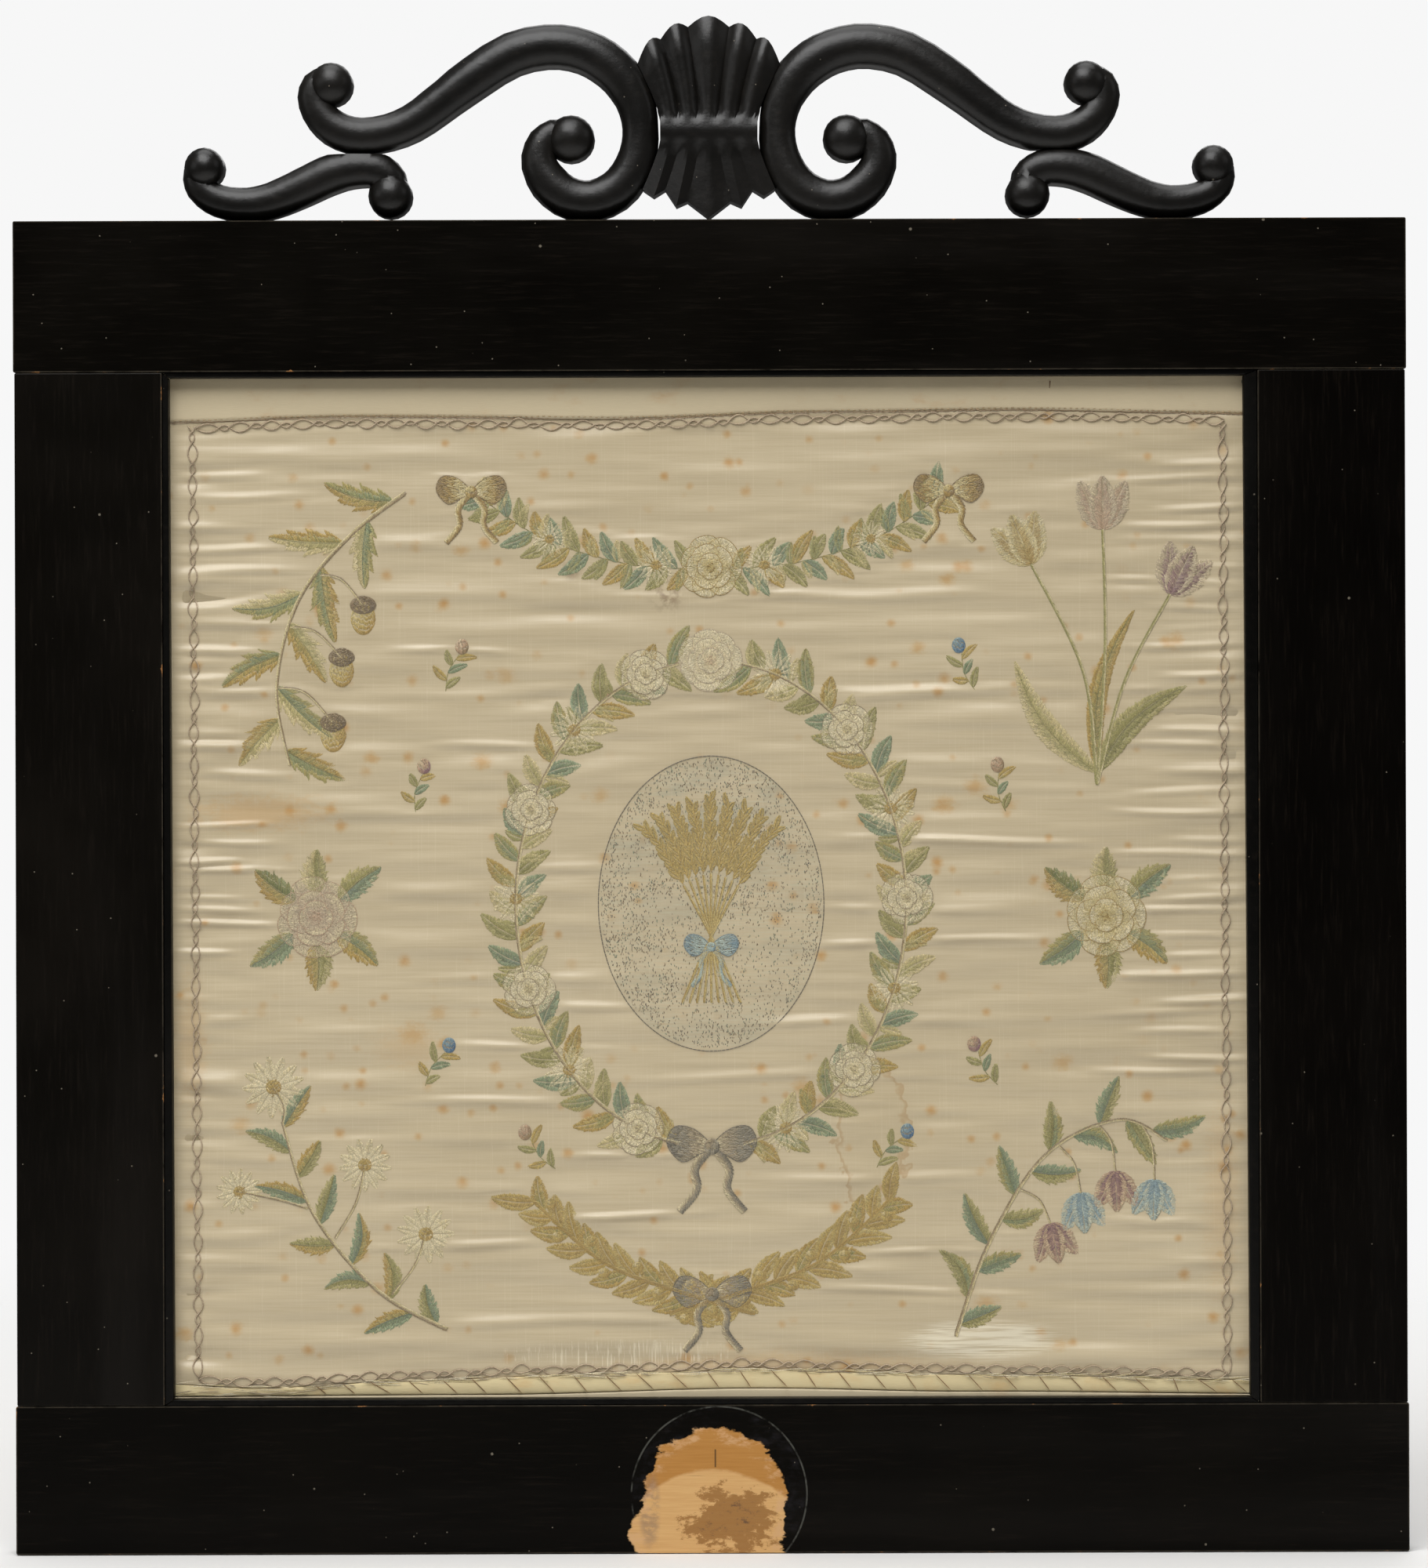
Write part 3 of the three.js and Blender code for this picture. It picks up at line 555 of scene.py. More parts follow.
# On the bare patch: x, z, half width and half height
SPILL = (-31, 9, 8, 10)
GLUE = (9, 15, 21, 16)
SMEAR = (-29, 20, 6, 22)


def lost_ornament(s, colour):
    """Bare wood, ragged at its rim, with an ochre cap and old glue. Also gives where it is bare."""
    coarse = s.minus(s.noise(13, (1.6, 1, 0.8), 5, 0.66), 0.5)
    ragged = s.times(coarse, 0.5)
    above = s.math("DIVIDE", s.greater(s.minus(s.z, PATCH["shoulder"]), 0.0), PATCH["rise"])
    aside = s.math("DIVIDE", s.x, PATCH["half"])
    square = s.plus(s.times(above, above), s.times(aside, aside))
    off = s.plus(s.math("SQRT", square), ragged)
    spill = s.plus(s.off(*SPILL), s.times(coarse, 1.4))
    bare = s.greater(s.band(off, 1.0, 0.965), s.band(spill, 1.0, 0.85))
    grain = s.noise(0.9, (22, 1, 1), 4, 0.6)
    wood = s.mix(grain, (196, 148, 92), (222, 182, 126))
    curve = s.plus(s.z, s.times(s.times(aside, aside), 14))
    cap = s.band(s.plus(curve, s.times(coarse, 5)), 37.5, 39.5)
    wood = s.tint(wood, cap, 0.85, s.mix(grain, (158, 104, 44), (186, 132, 66)))
    rim = s.times(s.band(off, 0.8, 0.9), s.band(s.noise(4, (2, 1, 1), 4, 0.7), 0.42, 0.62))
    wood = s.tint(wood, rim, 0.75, (208, 166, 122))
    blot = s.noise(7, (1.7, 1, 1), 5, 0.72, (3, 3, 3))
    glue = s.plus(s.off(*GLUE), s.centred(blot, 2.6))
    wood = s.tint(wood, s.band(glue, 0.95, 0.75), 0.75, (136, 92, 46))
    crust = s.times(s.band(glue, 0.6, 0.3), s.band(s.noise(3.4, (1.5, 1, 1), 4, 0.7), 0.5, 0.66))
    wood = s.tint(wood, crust, 0.7, (84, 70, 62))
    smear = s.times(s.band(s.off(*SMEAR), 1.0, 0.5), s.band(blot, 0.4, 0.6))
    wood = s.tint(wood, smear, 0.55, (134, 112, 96))
    cracks = s.band(s.noise(2.4, (30, 1, 1), 3, 0.6, (1, 0, 7)), 0.66, 0.72)
    wood = s.tint(wood, cracks, 0.5, (128, 88, 52))
    across = s.band(s.gap(s.x, TICK["x"]), 0.5, 0.25)
    upward = s.band(s.gap(s.z, TICK["z"]), TICK["half"], TICK["half"] - 0.4)
    wood = s.tint(wood, s.times(across, upward), 0.8, (74, 56, 40))
    ring = s.gap(s.off(CIRCLE["x"], CIRCLE["z"]), CIRCLE["radius"])
    broken = s.band(s.noise(9, (1, 1, 1), 3, 0.6, (4, 4, 4)), 0.4, 0.6)
    facing = s.band(s.y, FRONT + 1.5, FRONT + 0.2)
    shown = s.times(facing, 0.6)
    scribed = s.times(s.times(s.band(ring, 0.55, 0.2), broken), shown)
    inside = s.band(s.off(CIRCLE["x"], CIRCLE["z"]), CIRCLE["radius"], CIRCLE["radius"] - 2)
    dull = s.times(s.times(inside, s.band(blot, 0.45, 0.7)), shown)
    colour = s.tint(colour, dull, 0.6, (46, 44, 48))
    colour = s.mix(scribed, colour, (92, 92, 86))
    bare = s.times(bare, facing)
    return s.mix(bare, colour, wood), bare


def board_material():
    s = Shader("old pine", Roughness=0.78)
    grain = s.noise(2.2, (18, 1, 1), 4, 0.6)
    colour = s.mix(grain, (150, 116, 76), (186, 150, 104))
    colour = s.mix(s.band(s.noise(60, (1, 1, 1), 3), 0.55, 0.8), colour, (128, 96, 62))
    return s.finish(colour, None, s.bump(grain, 0.15, 0.5))


def plain_ebony(name, grain, wear=True, base=(9, 7, 4), gloss=0.05):
    s, colour, rough, normal = ebony_material(name, grain, wear, base, gloss)
    return s.finish(colour, rough, normal)


def rail_with_patch():
    s, colour, rough, normal = ebony_material("ebonised rail with bare patch", "x", True)
    colour, bare = lost_ornament(s, colour)
    rough = s.plus(s.times(bare, 0.4), rough)
    return s.finish(colour, rough, normal)


THREAD = thread_material()
CREST_BLACK = plain_ebony("ebonised carving", "round", False, (18, 16, 13), 0.34)


# Meshes
def make(name, points, faces, material, slot, *nodes):
    """A piece from points in millimetres, riding on the part's one body in place of the named nodes."""
    mesh = bpy.data.meshes.new(name)
    mesh.from_pydata([tuple(p) for p in np.asarray(points, float) * MM], [], faces)
    mesh.materials.append(material)
    mesh.update()
    mesh.shade_smooth()
    piece = bpy.data.objects.new(name, mesh)
    bpy.context.scene.collection.objects.link(piece)
    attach(piece, "root")
    if nodes:
        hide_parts(*nodes)
    return piece


def sheet(name, columns, rows, place, back, material, slot, node):
    """A sheet with a shaped front, place(s, t) with both from 0 to 1, and a flat back."""
    s, t = np.meshgrid(np.linspace(0, 1, columns + 1), np.linspace(0, 1, rows + 1))
    x, y, z = place(s.ravel(), t.ravel())
    points = np.stack((x, y, z), axis=1)
    count = len(points)
    ids = np.arange(count).reshape(rows + 1, columns + 1)
    quads = np.stack((ids[:-1, :-1], ids[:-1, 1:], ids[1:, 1:], ids[1:, :-1]), axis=-1)
    faces = quads.reshape(-1, 4).tolist()
    rim = [*ids[0, :-1], *ids[:-1, -1], *ids[-1, :0:-1], *ids[:0:-1, 0]]
    low = points[rim].copy()
    low[:, 1] = back
    for k in range(len(rim)):
        n = (k + 1) % len(rim)
        faces.append([int(rim[n]), int(rim[k]), count + k, count + n])
    faces.append([count + k for k in range(len(rim))][::-1])
    return make(name, np.vstack((points, low)), faces, material, slot, node)


def cloth_between(low, high):
    def place(s, t):
        x = (2 * s - 1) * (SIGHT_X + CLOTH_TUCK)
        z = low(x) + (high(x) - low(x)) * t
        return x, z
    return place


def make_silk():
    foot, head = (lambda x: height_at(HEM_SEAM, x) + 0.05), (lambda x: height_at(HEADING_SEAM, x) - 0.05)
    lines = cloth_between(foot, head)

    def place(s, t):
        x, z = lines(s, t)
        return x, CLOTH_FRONT - silk_lift(x, z), z

    return sheet("silk", 96, 900, place, CLOTH_BACK, silk_material(), "silk", "silk_panel")


def strip_piece(name, node, low, high, material, slot, swell, drop=0.0):
    lines = cloth_between(low, high)

    def place(s, t):
        x, z = lines(s, t)
        round_over = np.sin(np.pi * np.clip(t, 0, 1)) ** 0.5
        wave = 0.5 + 0.5 * ripples(x, z, 30, 6, 21)
        lift = (swell * wave + drop) * round_over * ease((SIGHT_X - 5 - np.abs(x)) / 4)
        return x, CLOTH_FRONT - lift, z

    return sheet(name, 160, 14, place, CLOTH_BACK, material, slot, node)


def make_cloths():
    silk = make_silk()
    heading = cloth_material("heading cloth", (208, 192, 158), (184, 142, 94), 0.5)
    # The foot strip is the heading's cloth, painted lighter to make up for the shade it lies in beside the
    # bottom slip.
    foot = cloth_material("foot cloth, lightened against shade", (222, 206, 172), (176, 136, 90), 0.3)
    tape = cloth_material("hem tape cloth", (232, 214, 166), (214, 160, 82), 1.0)
    top = SIGHT_HIGH + CLOTH_TUCK
    foot_edge = SIGHT_LOW - CLOTH_TUCK
    a = strip_piece("heading", "heading_strip", lambda x: height_at(HEADING_SEAM, x) + 0.05,
                    lambda x: top + 0 * x, heading, "heading_cloth", 0.25, 0.05)
    b = strip_piece("tape", "hem_tape", lambda x: height_at(TAPE_EDGE, x) + 0.15,
                    lambda x: height_at(HEM_SEAM, x) - 0.15, tape, "tape_cloth", 0.35, 0.3)
    c = strip_piece("foot", "foot_strip", lambda x: foot_edge + 0 * x,
                    lambda x: height_at(TAPE_EDGE, x) - 0.15, foot, "heading_cloth", 0.15)


# Stitching
# Painted light: every stitch colour is made lighter by this factor to make up for the shade the stitches cast
# on themselves.
THREAD_SHADE_LIFT = 1.25


class Work:
    """Collects the stitches of one piece of embroidery."""

    def __init__(self):
        self.rows = []

    def stitch(self, a, b, width, colour, level=0):
        # The painted lift against the stitches' own shade, times a random change of tone.
        lift_and_jitter = THREAD_SHADE_LIFT * (1 + rng.normal(0, 0.07))
        self.rows.append((*a, *b, width, level, *(colour * lift_and_jitter)))

    def build(self, name, slot="silk"):
        rows = np.array(self.rows)
        a, b, width, level, colour = rows[:, 0:2], rows[:, 2:4], rows[:, 4], rows[:, 5], rows[:, 6:9]
        run = b - a
        length = np.maximum(np.linalg.norm(run, axis=1, keepdims=True), 1e-6)
        side = np.stack((-run[:, 1], run[:, 0]), axis=1) / length * width[:, None] / 2
        shares = (0.0, 0.2, 0.2, 0.2, 0.8, 0.8, 0.8, 1.0)
        sides = (0, -1, 0, 1, -1, 0, 1, 0)
        crest = np.array((0, 0, 1, 0, 0, 1, 0, 0)) * 0.5
        flat = np.stack([a + run * f + side * k for f, k in zip(shares, sides)], axis=1)
        y = CLOTH_FRONT - 0.04 - silk_lift(flat[..., 0], flat[..., 1])
        y = y - level[:, None] * 0.16 - crest[None, :] * width[:, None]
        points = np.stack((flat[..., 0], y, flat[..., 1]), axis=2).reshape(-1, 3)
        first = np.arange(len(rows)) * 8
        pattern = [(0, 2, 1), (0, 3, 2), (1, 2, 5, 4), (2, 3, 6, 5), (4, 5, 7), (5, 6, 7)]
        faces = []
        for one in pattern:
            faces += (first[:, None] + np.array(one)[None, :]).tolist()
        piece = make(name, points, faces, THREAD, slot)
        tint = piece.data.color_attributes.new("thread", "FLOAT_COLOR", "POINT")
        rgba = np.ones((len(points), 4), np.float32)
        rgba[:, :3] = np.clip(np.repeat(colour, 8, axis=0), 0, 1)
        tint.data.foreach_set("color", rgba.ravel())


def rounded(outline, closed=True, steps=5):
    """A smooth curve through the points."""
    p = np.array(outline, float)
    n = len(p)
    found = []
    for k in range(n if closed else n - 1):
        q = [p[(k + o) % n] if closed else p[min(max(k + o, 0), n - 1)] for o in (-1, 0, 1, 2)]
        for t in np.arange(steps) / steps:
            bend = 2 * q[0] - 5 * q[1] + 4 * q[2] - q[3]
            twist = 3 * q[1] - q[0] - 3 * q[2] + q[3]
            found.append(0.5 * (2 * q[1] + (q[2] - q[0]) * t + bend * t**2 + twist * t**3))
    if not closed:
        found.append(p[-1])
    return np.array(found)


ROW_PITCH = 0.46
THREAD_WIDTH = 0.52


def fill(work, outline, angle, palette, shading, length=4.2, level=0):
    """Long and short stitches at an angle, in degrees. shading is the line that the palette runs along."""
    shape = rounded(outline)
    turn = math.radians(angle)
    axis = np.array((math.cos(turn), math.sin(turn)))
    across = np.array((-axis[1], axis[0]))
    u, v = shape @ axis, shape @ across
    start, end = shading
    run = end - start
    for row in np.arange(v.min() + ROW_PITCH / 2, v.max(), ROW_PITCH):
        v2, u2 = np.roll(v, -1), np.roll(u, -1)
        hit = (v - row) * (v2 - row) < 0
        marks = np.sort(u[hit] + (u2[hit] - u[hit]) * (row - v[hit]) / (v2[hit] - v[hit]))
        for left, right in zip(marks[::2], marks[1::2]):
            place = left + rng.normal(0, 0.15)
            while place < right - 0.4:
                stop = place + length * rng.uniform(0.55, 1.3)
                stop = right + rng.normal(0, 0.15) if stop > right - 0.9 else stop
                drift = row + rng.normal(0, 0.06)
                a, b = axis * place + across * drift, axis * stop + across * (drift + rng.normal(0, 0.08))
                t = ((a + b) / 2 - start) @ run / (run @ run) + rng.normal(0, 0.09)
                work.stitch(a, b, THREAD_WIDTH, tone(palette, t), level)
                place = stop - 0.2


def line(work, points, colour, width=0.42, step=1.9, level=1, closed=False, smooth=True):
    """Back stitch along a line."""
    path = rounded(points, closed, 6) if smooth else np.array(points, float)
    if closed:
        path = np.vstack((path, path[:1]))
    gaps = np.linalg.norm(np.diff(path, axis=0), axis=1)
    reach = np.concatenate(([0], np.cumsum(gaps)))
    count = max(1, round(reach[-1] / step))
    marks = np.linspace(0, reach[-1], count + 1)
    spots = np.stack([np.interp(marks, reach, path[:, k]) for k in (0, 1)], axis=1)
    for a, b in zip(spots, spots[1:]):
        work.stitch(a, b + (b - a) * 0.12, width, tone([colour], 0), level)


def stem(work, points, width, palette, taper=0.0, level=1):
    """Stem stitch: slanted stitches side by side along a curve."""
    path = rounded(points, False, 8)
    gaps = np.linalg.norm(np.diff(path, axis=0), axis=1)
    reach = np.concatenate(([0], np.cumsum(gaps)))
    strands = max(1, round(width / 0.5))
    for mark in np.arange(0, reach[-1], 1.3):
        at = np.array([np.interp(mark, reach, path[:, k]) for k in (0, 1)])
        to = np.array([np.interp(min(mark + 2.6, reach[-1]), reach, path[:, k]) for k in (0, 1)])
        run = to - at
        size = np.linalg.norm(run)
        if size < 0.3:
            continue
        normal = np.array((-run[1], run[0])) / size
        share = 1 - taper * mark / reach[-1]
        for k in range(strands):
            off = ((k + 0.5) / strands - 0.5) * width * share
            slant = normal * 0.18 * width
            shade = tone(palette, (k + 0.5) / strands + rng.normal(0, 0.12))
            work.stitch(at + normal * off - slant, to + normal * off + slant, 0.5, shade, level)


def leaf(work, base, tip, width, palette, teeth=0, bow=0.0, rib="brown", level=0, depth=0.2, other=None):
    """A leaf worked from its rib outwards. other is a second palette for its right half."""
    base, tip = np.array(base, float), np.array(tip, float)
    run = tip - base
    length = np.linalg.norm(run)
    normal = np.array((-run[1], run[0])) / length

    def rib_at(t):
        return base + run * t + normal * bow * length * math.sin(math.pi * t)

    for side in (1, -1):
        colours = palette if side > 0 or other is None else other
        for t in np.arange(0.02, 1.0, 0.46 / length):
            saw = (t * teeth) % 1.0 if teeth else 1.0
            lobe = 1 - depth * (1 - saw) ** 0.8 if teeth else 1.0
            half = width / 2 * math.sin(math.pi * t**0.78) ** 0.72
            start = rib_at(max(0.0, t - 0.5 * half / length))
            edge = rib_at(min(1.0, t + 0.12 * half / length)) + normal * side * half
            edge = start + (edge - start) * lobe * (1 + rng.normal(0, 0.05))
            reach = np.linalg.norm(edge - start)
            if reach < 0.5:
                continue
            cuts = [0.0, 1.0] if reach < 3.2 else [0.0, rng.uniform(0.38, 0.66), 1.0]
            for c0, c1 in zip(cuts, cuts[1:]):
                a, b = start + (edge - start) * c0, start + (edge - start) * min(1.0, c1 + 0.05)
                shade = (c0 + c1) / 2 * 0.8 + 0.25 * (t - 0.5) + rng.normal(0, 0.1)
                work.stitch(a, b, 0.5, tone(colours, shade), level)
    if rib:
        line(work, [rib_at(t) for t in (0, 0.25, 0.5, 0.75, 0.94)], rib, 0.4, 2.2, level + 1)


LIT_FROM = np.array((-0.5, 0.6))


def fruit(work, centre, wide, tall, palette, tilt=90.0, level=0):
    """A round fruit in satin stitch whose rows bend with its form. wide and tall are radii."""
    turn = math.radians(tilt)
    axis = np.array((math.cos(turn), math.sin(turn)))
    across = np.array((-axis[1], axis[0]))
    size_a = math.hypot(wide * axis[0], tall * axis[1])
    size_b = math.hypot(wide * across[0], tall * across[1])
    for k in np.arange(-1 + 0.2 / size_b, 1, 0.44 / size_b):
        half = math.sqrt(max(0, 1 - k * k))
        bow = 0.16 * k
        marks = np.arange(-half, half, rng.uniform(2.0, 3.0) / size_a)
        marks = [*marks, half] if len(marks) < 2 or half - marks[-1] > 0.25 else [*marks[:-1], half]
        for m0, m1 in zip(marks, marks[1:]):
            b0, b1 = (k + bow * (1 - (m / max(half, 0.1)) ** 2) for m in (m0, m1))
            a = centre + axis * m0 * size_a + across * b0 * size_b
            b = centre + axis * m1 * size_a + across * b1 * size_b
            mid = ((a + b) / 2 - centre) / np.array((wide, tall))
            shade = 0.5 - 0.42 * (mid @ LIT_FROM) / math.hypot(*LIT_FROM) + 0.25 * (mid @ mid)
            work.stitch(a, b, 0.5, tone(palette, shade + rng.normal(0, 0.07)), level)


def seeds(work, centre, wide, tall, colours, count, size, width, level):
    """Short scattered stitches inside an ellipse."""
    for _ in range(count):
        r, a = math.sqrt(rng.uniform()), rng.uniform(0, 2 * math.pi)
        at = centre + np.array((wide * r * math.cos(a), tall * r * math.sin(a)))
        turn = rng.uniform(0, math.pi)
        reach = size * rng.uniform(0.5, 1.2) / 2 * np.array((math.cos(turn), math.sin(turn)))
        work.stitch(at - reach, at + reach, width, tone(colours, rng.uniform()), level)


def through(q, *pairs):
    """Points given in a motif's own axes."""
    return [q(a, b) for a, b in pairs]


def spot(x, z, side=1):
    """A motif's own axes: millimetres to the right and up from its middle, mirrored where side is -1."""
    return lambda a, b: np.array((x + side * a, z + b), float)


LEAF = {
    "spring": ("olive", "moss", "pale gold"),
    "sea": ("slate", "blue green", "sea green", "pale gold"),
    "autumn": ("olive", "gold", "deep gold", "pale gold"),
    "deep": ("dark green", "olive", "sea green"),
    "faded": ("moss", "pale gold", "cream"),
    "tipped": ("blue green", "moss", "gold"),
    "corn": ("deep gold", "gold", "pale gold"),
    "laurel": ("ochre", "gold", "deep gold"),
}


def along(path, step):
    """Points at even steps on a smooth curve, each with the curve's direction there."""
    curve = rounded(path, False, 8)
    reach = np.concatenate(([0], np.cumsum(np.linalg.norm(np.diff(curve, axis=0), axis=1))))
    for mark in np.arange(step / 2, reach[-1], step):
        marks = (mark - 1, mark, mark + 1)
        back, at, on = (np.array([np.interp(m, reach, curve[:, i]) for i in (0, 1)]) for m in marks)
        yield at, math.atan2(*(on - back)[::-1])


def garland(work, path, size, palettes, step, spread=50):
    """Small leaves on both sides of a path, pointing along it."""
    line(work, path, LEAF[palettes[0]][0], 0.42, 2.0, 0)
    for k, (at, turn) in enumerate(along(path, step)):
        a = turn + math.radians(spread) * (1 if k % 2 else -1)
        tip = at + size * rng.uniform(0.8, 1.15) * np.array((math.cos(a), math.sin(a)))
        leaf(work, at, tip, size * 0.42, LEAF[palettes[k % len(palettes)]], 0, 0.05, None)


# A rose petal: shares of its reach outwards and sideways
PETAL = ((1.05, 0), (0.75, 0.75), (-0.2, 1), (-0.9, 0.3), (-0.9, -0.3), (-0.2, -1), (0.75, -0.75))


def rose(work, centre, radius, palette, edge="taupe"):
    """A full rose: rings of overlapping petals, darker towards the heart, each edged with fine thread."""
    for ring, (share, count, size) in enumerate(((0.62, 7, 0.5), (0.4, 5, 0.42), (0.18, 4, 0.3))):
        for k in range(count):
            a = 2 * math.pi * (k + 0.5 * (ring % 2) + rng.normal(0, 0.05)) / count
            out = np.array((math.cos(a), math.sin(a)))
            side = np.array((-out[1], out[0]))
            mid = centre + out * radius * share
            reach = radius * size * (1 + rng.normal(0, 0.07))
            shape = [mid + out * reach * c * 0.8 + side * reach * s for c, s in PETAL]
            shading = (mid - out * reach, mid + out * reach)
            fill(work, shape, math.degrees(a) + rng.normal(0, 8), palette, shading, length=2.6, level=ring)
            line(work, shape[5:] + shape[:3], edge, 0.32, 1.6, ring + 1)
    seeds(work, centre, radius * 0.16, radius * 0.16, (edge, palette[0]), 16, 1.2, 0.4, 4)


# The embroidered design, of the builder's own drawing: a wreath about a stippled oval, with a swag and sprays
MEDALLION_MIDDLE = np.array((MEDALLION["x"], MEDALLION["z"]), float)
BARK = ("cream", "pale gold", "taupe", "brown")
RIBBON = ("cream", "taupe", "grey", "dark grey")
DAISY = ("ivory", "cream", "gold")
HEART = ("gold", "ochre")
PETALS = 13


def twig(work, q, points, palettes, size, pitch, teeth=6, depth=0.26):
    """A woody stem with toothed leaves on alternate sides."""
    path = through(q, *points)
    stem(work, path, 1.8, BARK, 0.6)
    for k, (at, turn) in enumerate(along(path, pitch)):
        a = turn + math.radians(50) * (1 if k % 2 else -1)
        tip = at + size * rng.uniform(0.85, 1.15) * np.array((math.cos(a), math.sin(a)))
        near, far = (LEAF[palettes[(k + o) % len(palettes)]] for o in (0, 1))
        leaf(work, at, tip, size * 0.44, near, teeth, rng.normal(0, 0.06), near[0], 0, depth, far)


def cup(work, at, turn, size, spread, palette):
    """Three petals that open along a direction, in degrees."""
    for off in (-spread, spread, 0):
        a = math.radians(turn + off)
        tip = at + size * np.array((math.cos(a), math.sin(a)))
        leaf(work, at, tip, size * 0.54, palette, 0, 0.0, None, 0 if off else 1)


def daisy(work, at, radius):
    """Narrow petals about a heart of knots."""
    first = rng.uniform(0, 30)
    for k in range(PETALS):
        a = math.radians(first + 360 * k / PETALS)
        out = np.array((math.cos(a), math.sin(a)))
        leaf(work, at + out * 0.14 * radius, at + out * radius, radius * 0.34, DAISY, 0, 0.0, None)
    fruit(work, at, radius * 0.24, radius * 0.24, HEART, 90, 1)
    seeds(work, at, radius * 0.3, radius * 0.3, HEART, 14, 1.0, 0.5, 2)


BOW_LOOP = ((0, 0), (7, 7), (15, 8), (18, 1), (12, -6), (5, -3))
BOW_TAIL = ((1, -1), (7, -9), (6, -17), (13, -26))


def bow(work, x, z, size, palette):
    """A ribbon bow with two tails."""
    for side in (1, -1):
        q = spot(x, z, side)
        loop = through(q, *[(size * a, size * b) for a, b in BOW_LOOP])
        fill(work, loop, 16 * side, palette, (q(0, 0), q(18 * size, 0)), level=1)
        line(work, loop, palette[-1], 0.36, 1.8, 2, True)
        tail = through(q, *[(size * a, size * b) for a, b in BOW_TAIL])
        stem(work, tail, 3.2 * size, palette, 0.2)
    fruit(work, np.array((x, z), float), 3 * size, 3.4 * size, palette, 90, 3)


def oak_sprig():
    w = Work()
    q = spot(-176, 424)
    route = ((36, 64), (10, 44), (-14, 14), (-24, -26), (-18, -62))
    twig(w, q, route, ("autumn", "tipped", "faded"), 33, 15, 4, 0.42)
    for stalk, nut in (((-4, 26), (16, 12)), ((-18, 2), (6, -12)), ((-24, -26), (2, -42))):
        stem(w, through(q, stalk, ((stalk[0] + nut[0]) / 2, stalk[1] - 2), nut), 1.1, BARK)
        fruit(w, q(nut[0], nut[1] - 6), 5.4, 8, ("ivory", "pale gold", "gold", "ochre"))
        fruit(w, q(*nut), 6.2, 4, ("taupe", "brown", "umber"), 0, 1)
        seeds(w, q(*nut), 5.6, 3.4, ("umber", "taupe"), 34, 1.2, 0.42, 2)
    return w


def tulip_spray():
    w = Work()
    q = spot(178, 424)
    blooms = (
        ((-6, -20), (-30, 30), 112, ("ochre", "pale gold", "ivory")),
        ((4, -8), (3, 46), 90, ("rose", "bloom", "cream")),
        ((13, -24), (34, 16), 64, ("purple", "bloom", "cream")),
    )
    for by, at, turn, palette in blooms:
        stem(w, through(q, (0, -72), by, at), 1.5, ("cream", "moss", "olive"), 0.3)
        cup(w, q(*at), turn, 25, 26, palette)
    for tip, wide, palette in (((-38, -14), 12, "faded"), ((42, -26), 12, "spring"), ((18, 10), 9, "autumn")):
        leaf(w, q(0, -66), q(*tip), wide, LEAF[palette], 0, 0.1, LEAF[palette][0], 0)
    return w


def daisy_spray():
    w = Work()
    q = spot(-170, 152)
    twig(w, q, ((48, -50), (16, -32), (-14, 4), (-28, 46)), ("spring", "sea", "autumn"), 22, 12)
    for start, at, radius in (((-28, 44), (-32, 62), 15), ((-4, -8), (10, 26), 13), ((22, -34), (38, -6), 14),
                              ((-16, 6), (-48, 14), 11)):
        stem(w, through(q, start, ((start[0] + at[0]) / 2 + 3, (start[1] + at[1]) / 2), at), 1.1, BARK)
        daisy(w, q(*at), radius)
    return w


def bell_spray():
    w = Work()
    q = spot(158, 150)
    twig(w, q, ((-46, -52), (-30, -8), (-4, 32), (30, 48), (52, 38)), ("sea", "spring", "tipped"), 24, 13)
    blues, purples = ("blue", "pale blue", "cream"), ("purple", "rose", "cream")
    for start, at, turn, palette in (((-16, 16), (-2, 0), -78, purples), ((2, 36), (12, 14), -84, blues),
                                     ((20, 46), (28, 24), -88, purples), ((40, 46), (46, 20), -92, blues)):
        stem(w, through(q, start, ((start[0] + at[0]) / 2 + 2, (start[1] + at[1]) / 2 + 3), at), 0.9, BARK)
        cup(w, q(*at), turn, 19, 30, palette)
    return w


WREATH_HALF = (90, 112)


def wreath_sides():
    """The wreath's two stems, from its foot to its top."""
    wide, tall = WREATH_HALF
    ring = [(wide * math.sin(a), -tall * math.cos(a)) for a in np.linspace(0.16, 2.98, 20)]
    return [[MEDALLION_MIDDLE + (way * x, z) for x, z in ring] for way in (1, -1)]


def wreath_leaves():
    w = Work()
    for path in wreath_sides():
        stem(w, path, 1.6, BARK, 0.4)
        garland(w, path, 19, ("autumn", "spring", "tipped", "faded", "sea"), 6)
        garland(w, path, 11, ("faded", "spring"), 10, 78)
    return w


def wreath_flowers():
    w = Work()
    for side, path in enumerate(wreath_sides()):
        for k, (at, _) in enumerate(along(path, 42)):
            if (k + side) % 2:
                rose(w, at, 11.5, ("pale gold", "cream", "ivory"))
            else:
                daisy(w, at, 12)
    rose(w, MEDALLION_MIDDLE + (0, WREATH_HALF[1]), 14, ("blush", "cream", "ivory"), "bloom")
    bow(w, 0, MEDALLION_MIDDLE[1] - WREATH_HALF[1], 1.15, RIBBON)
    return w


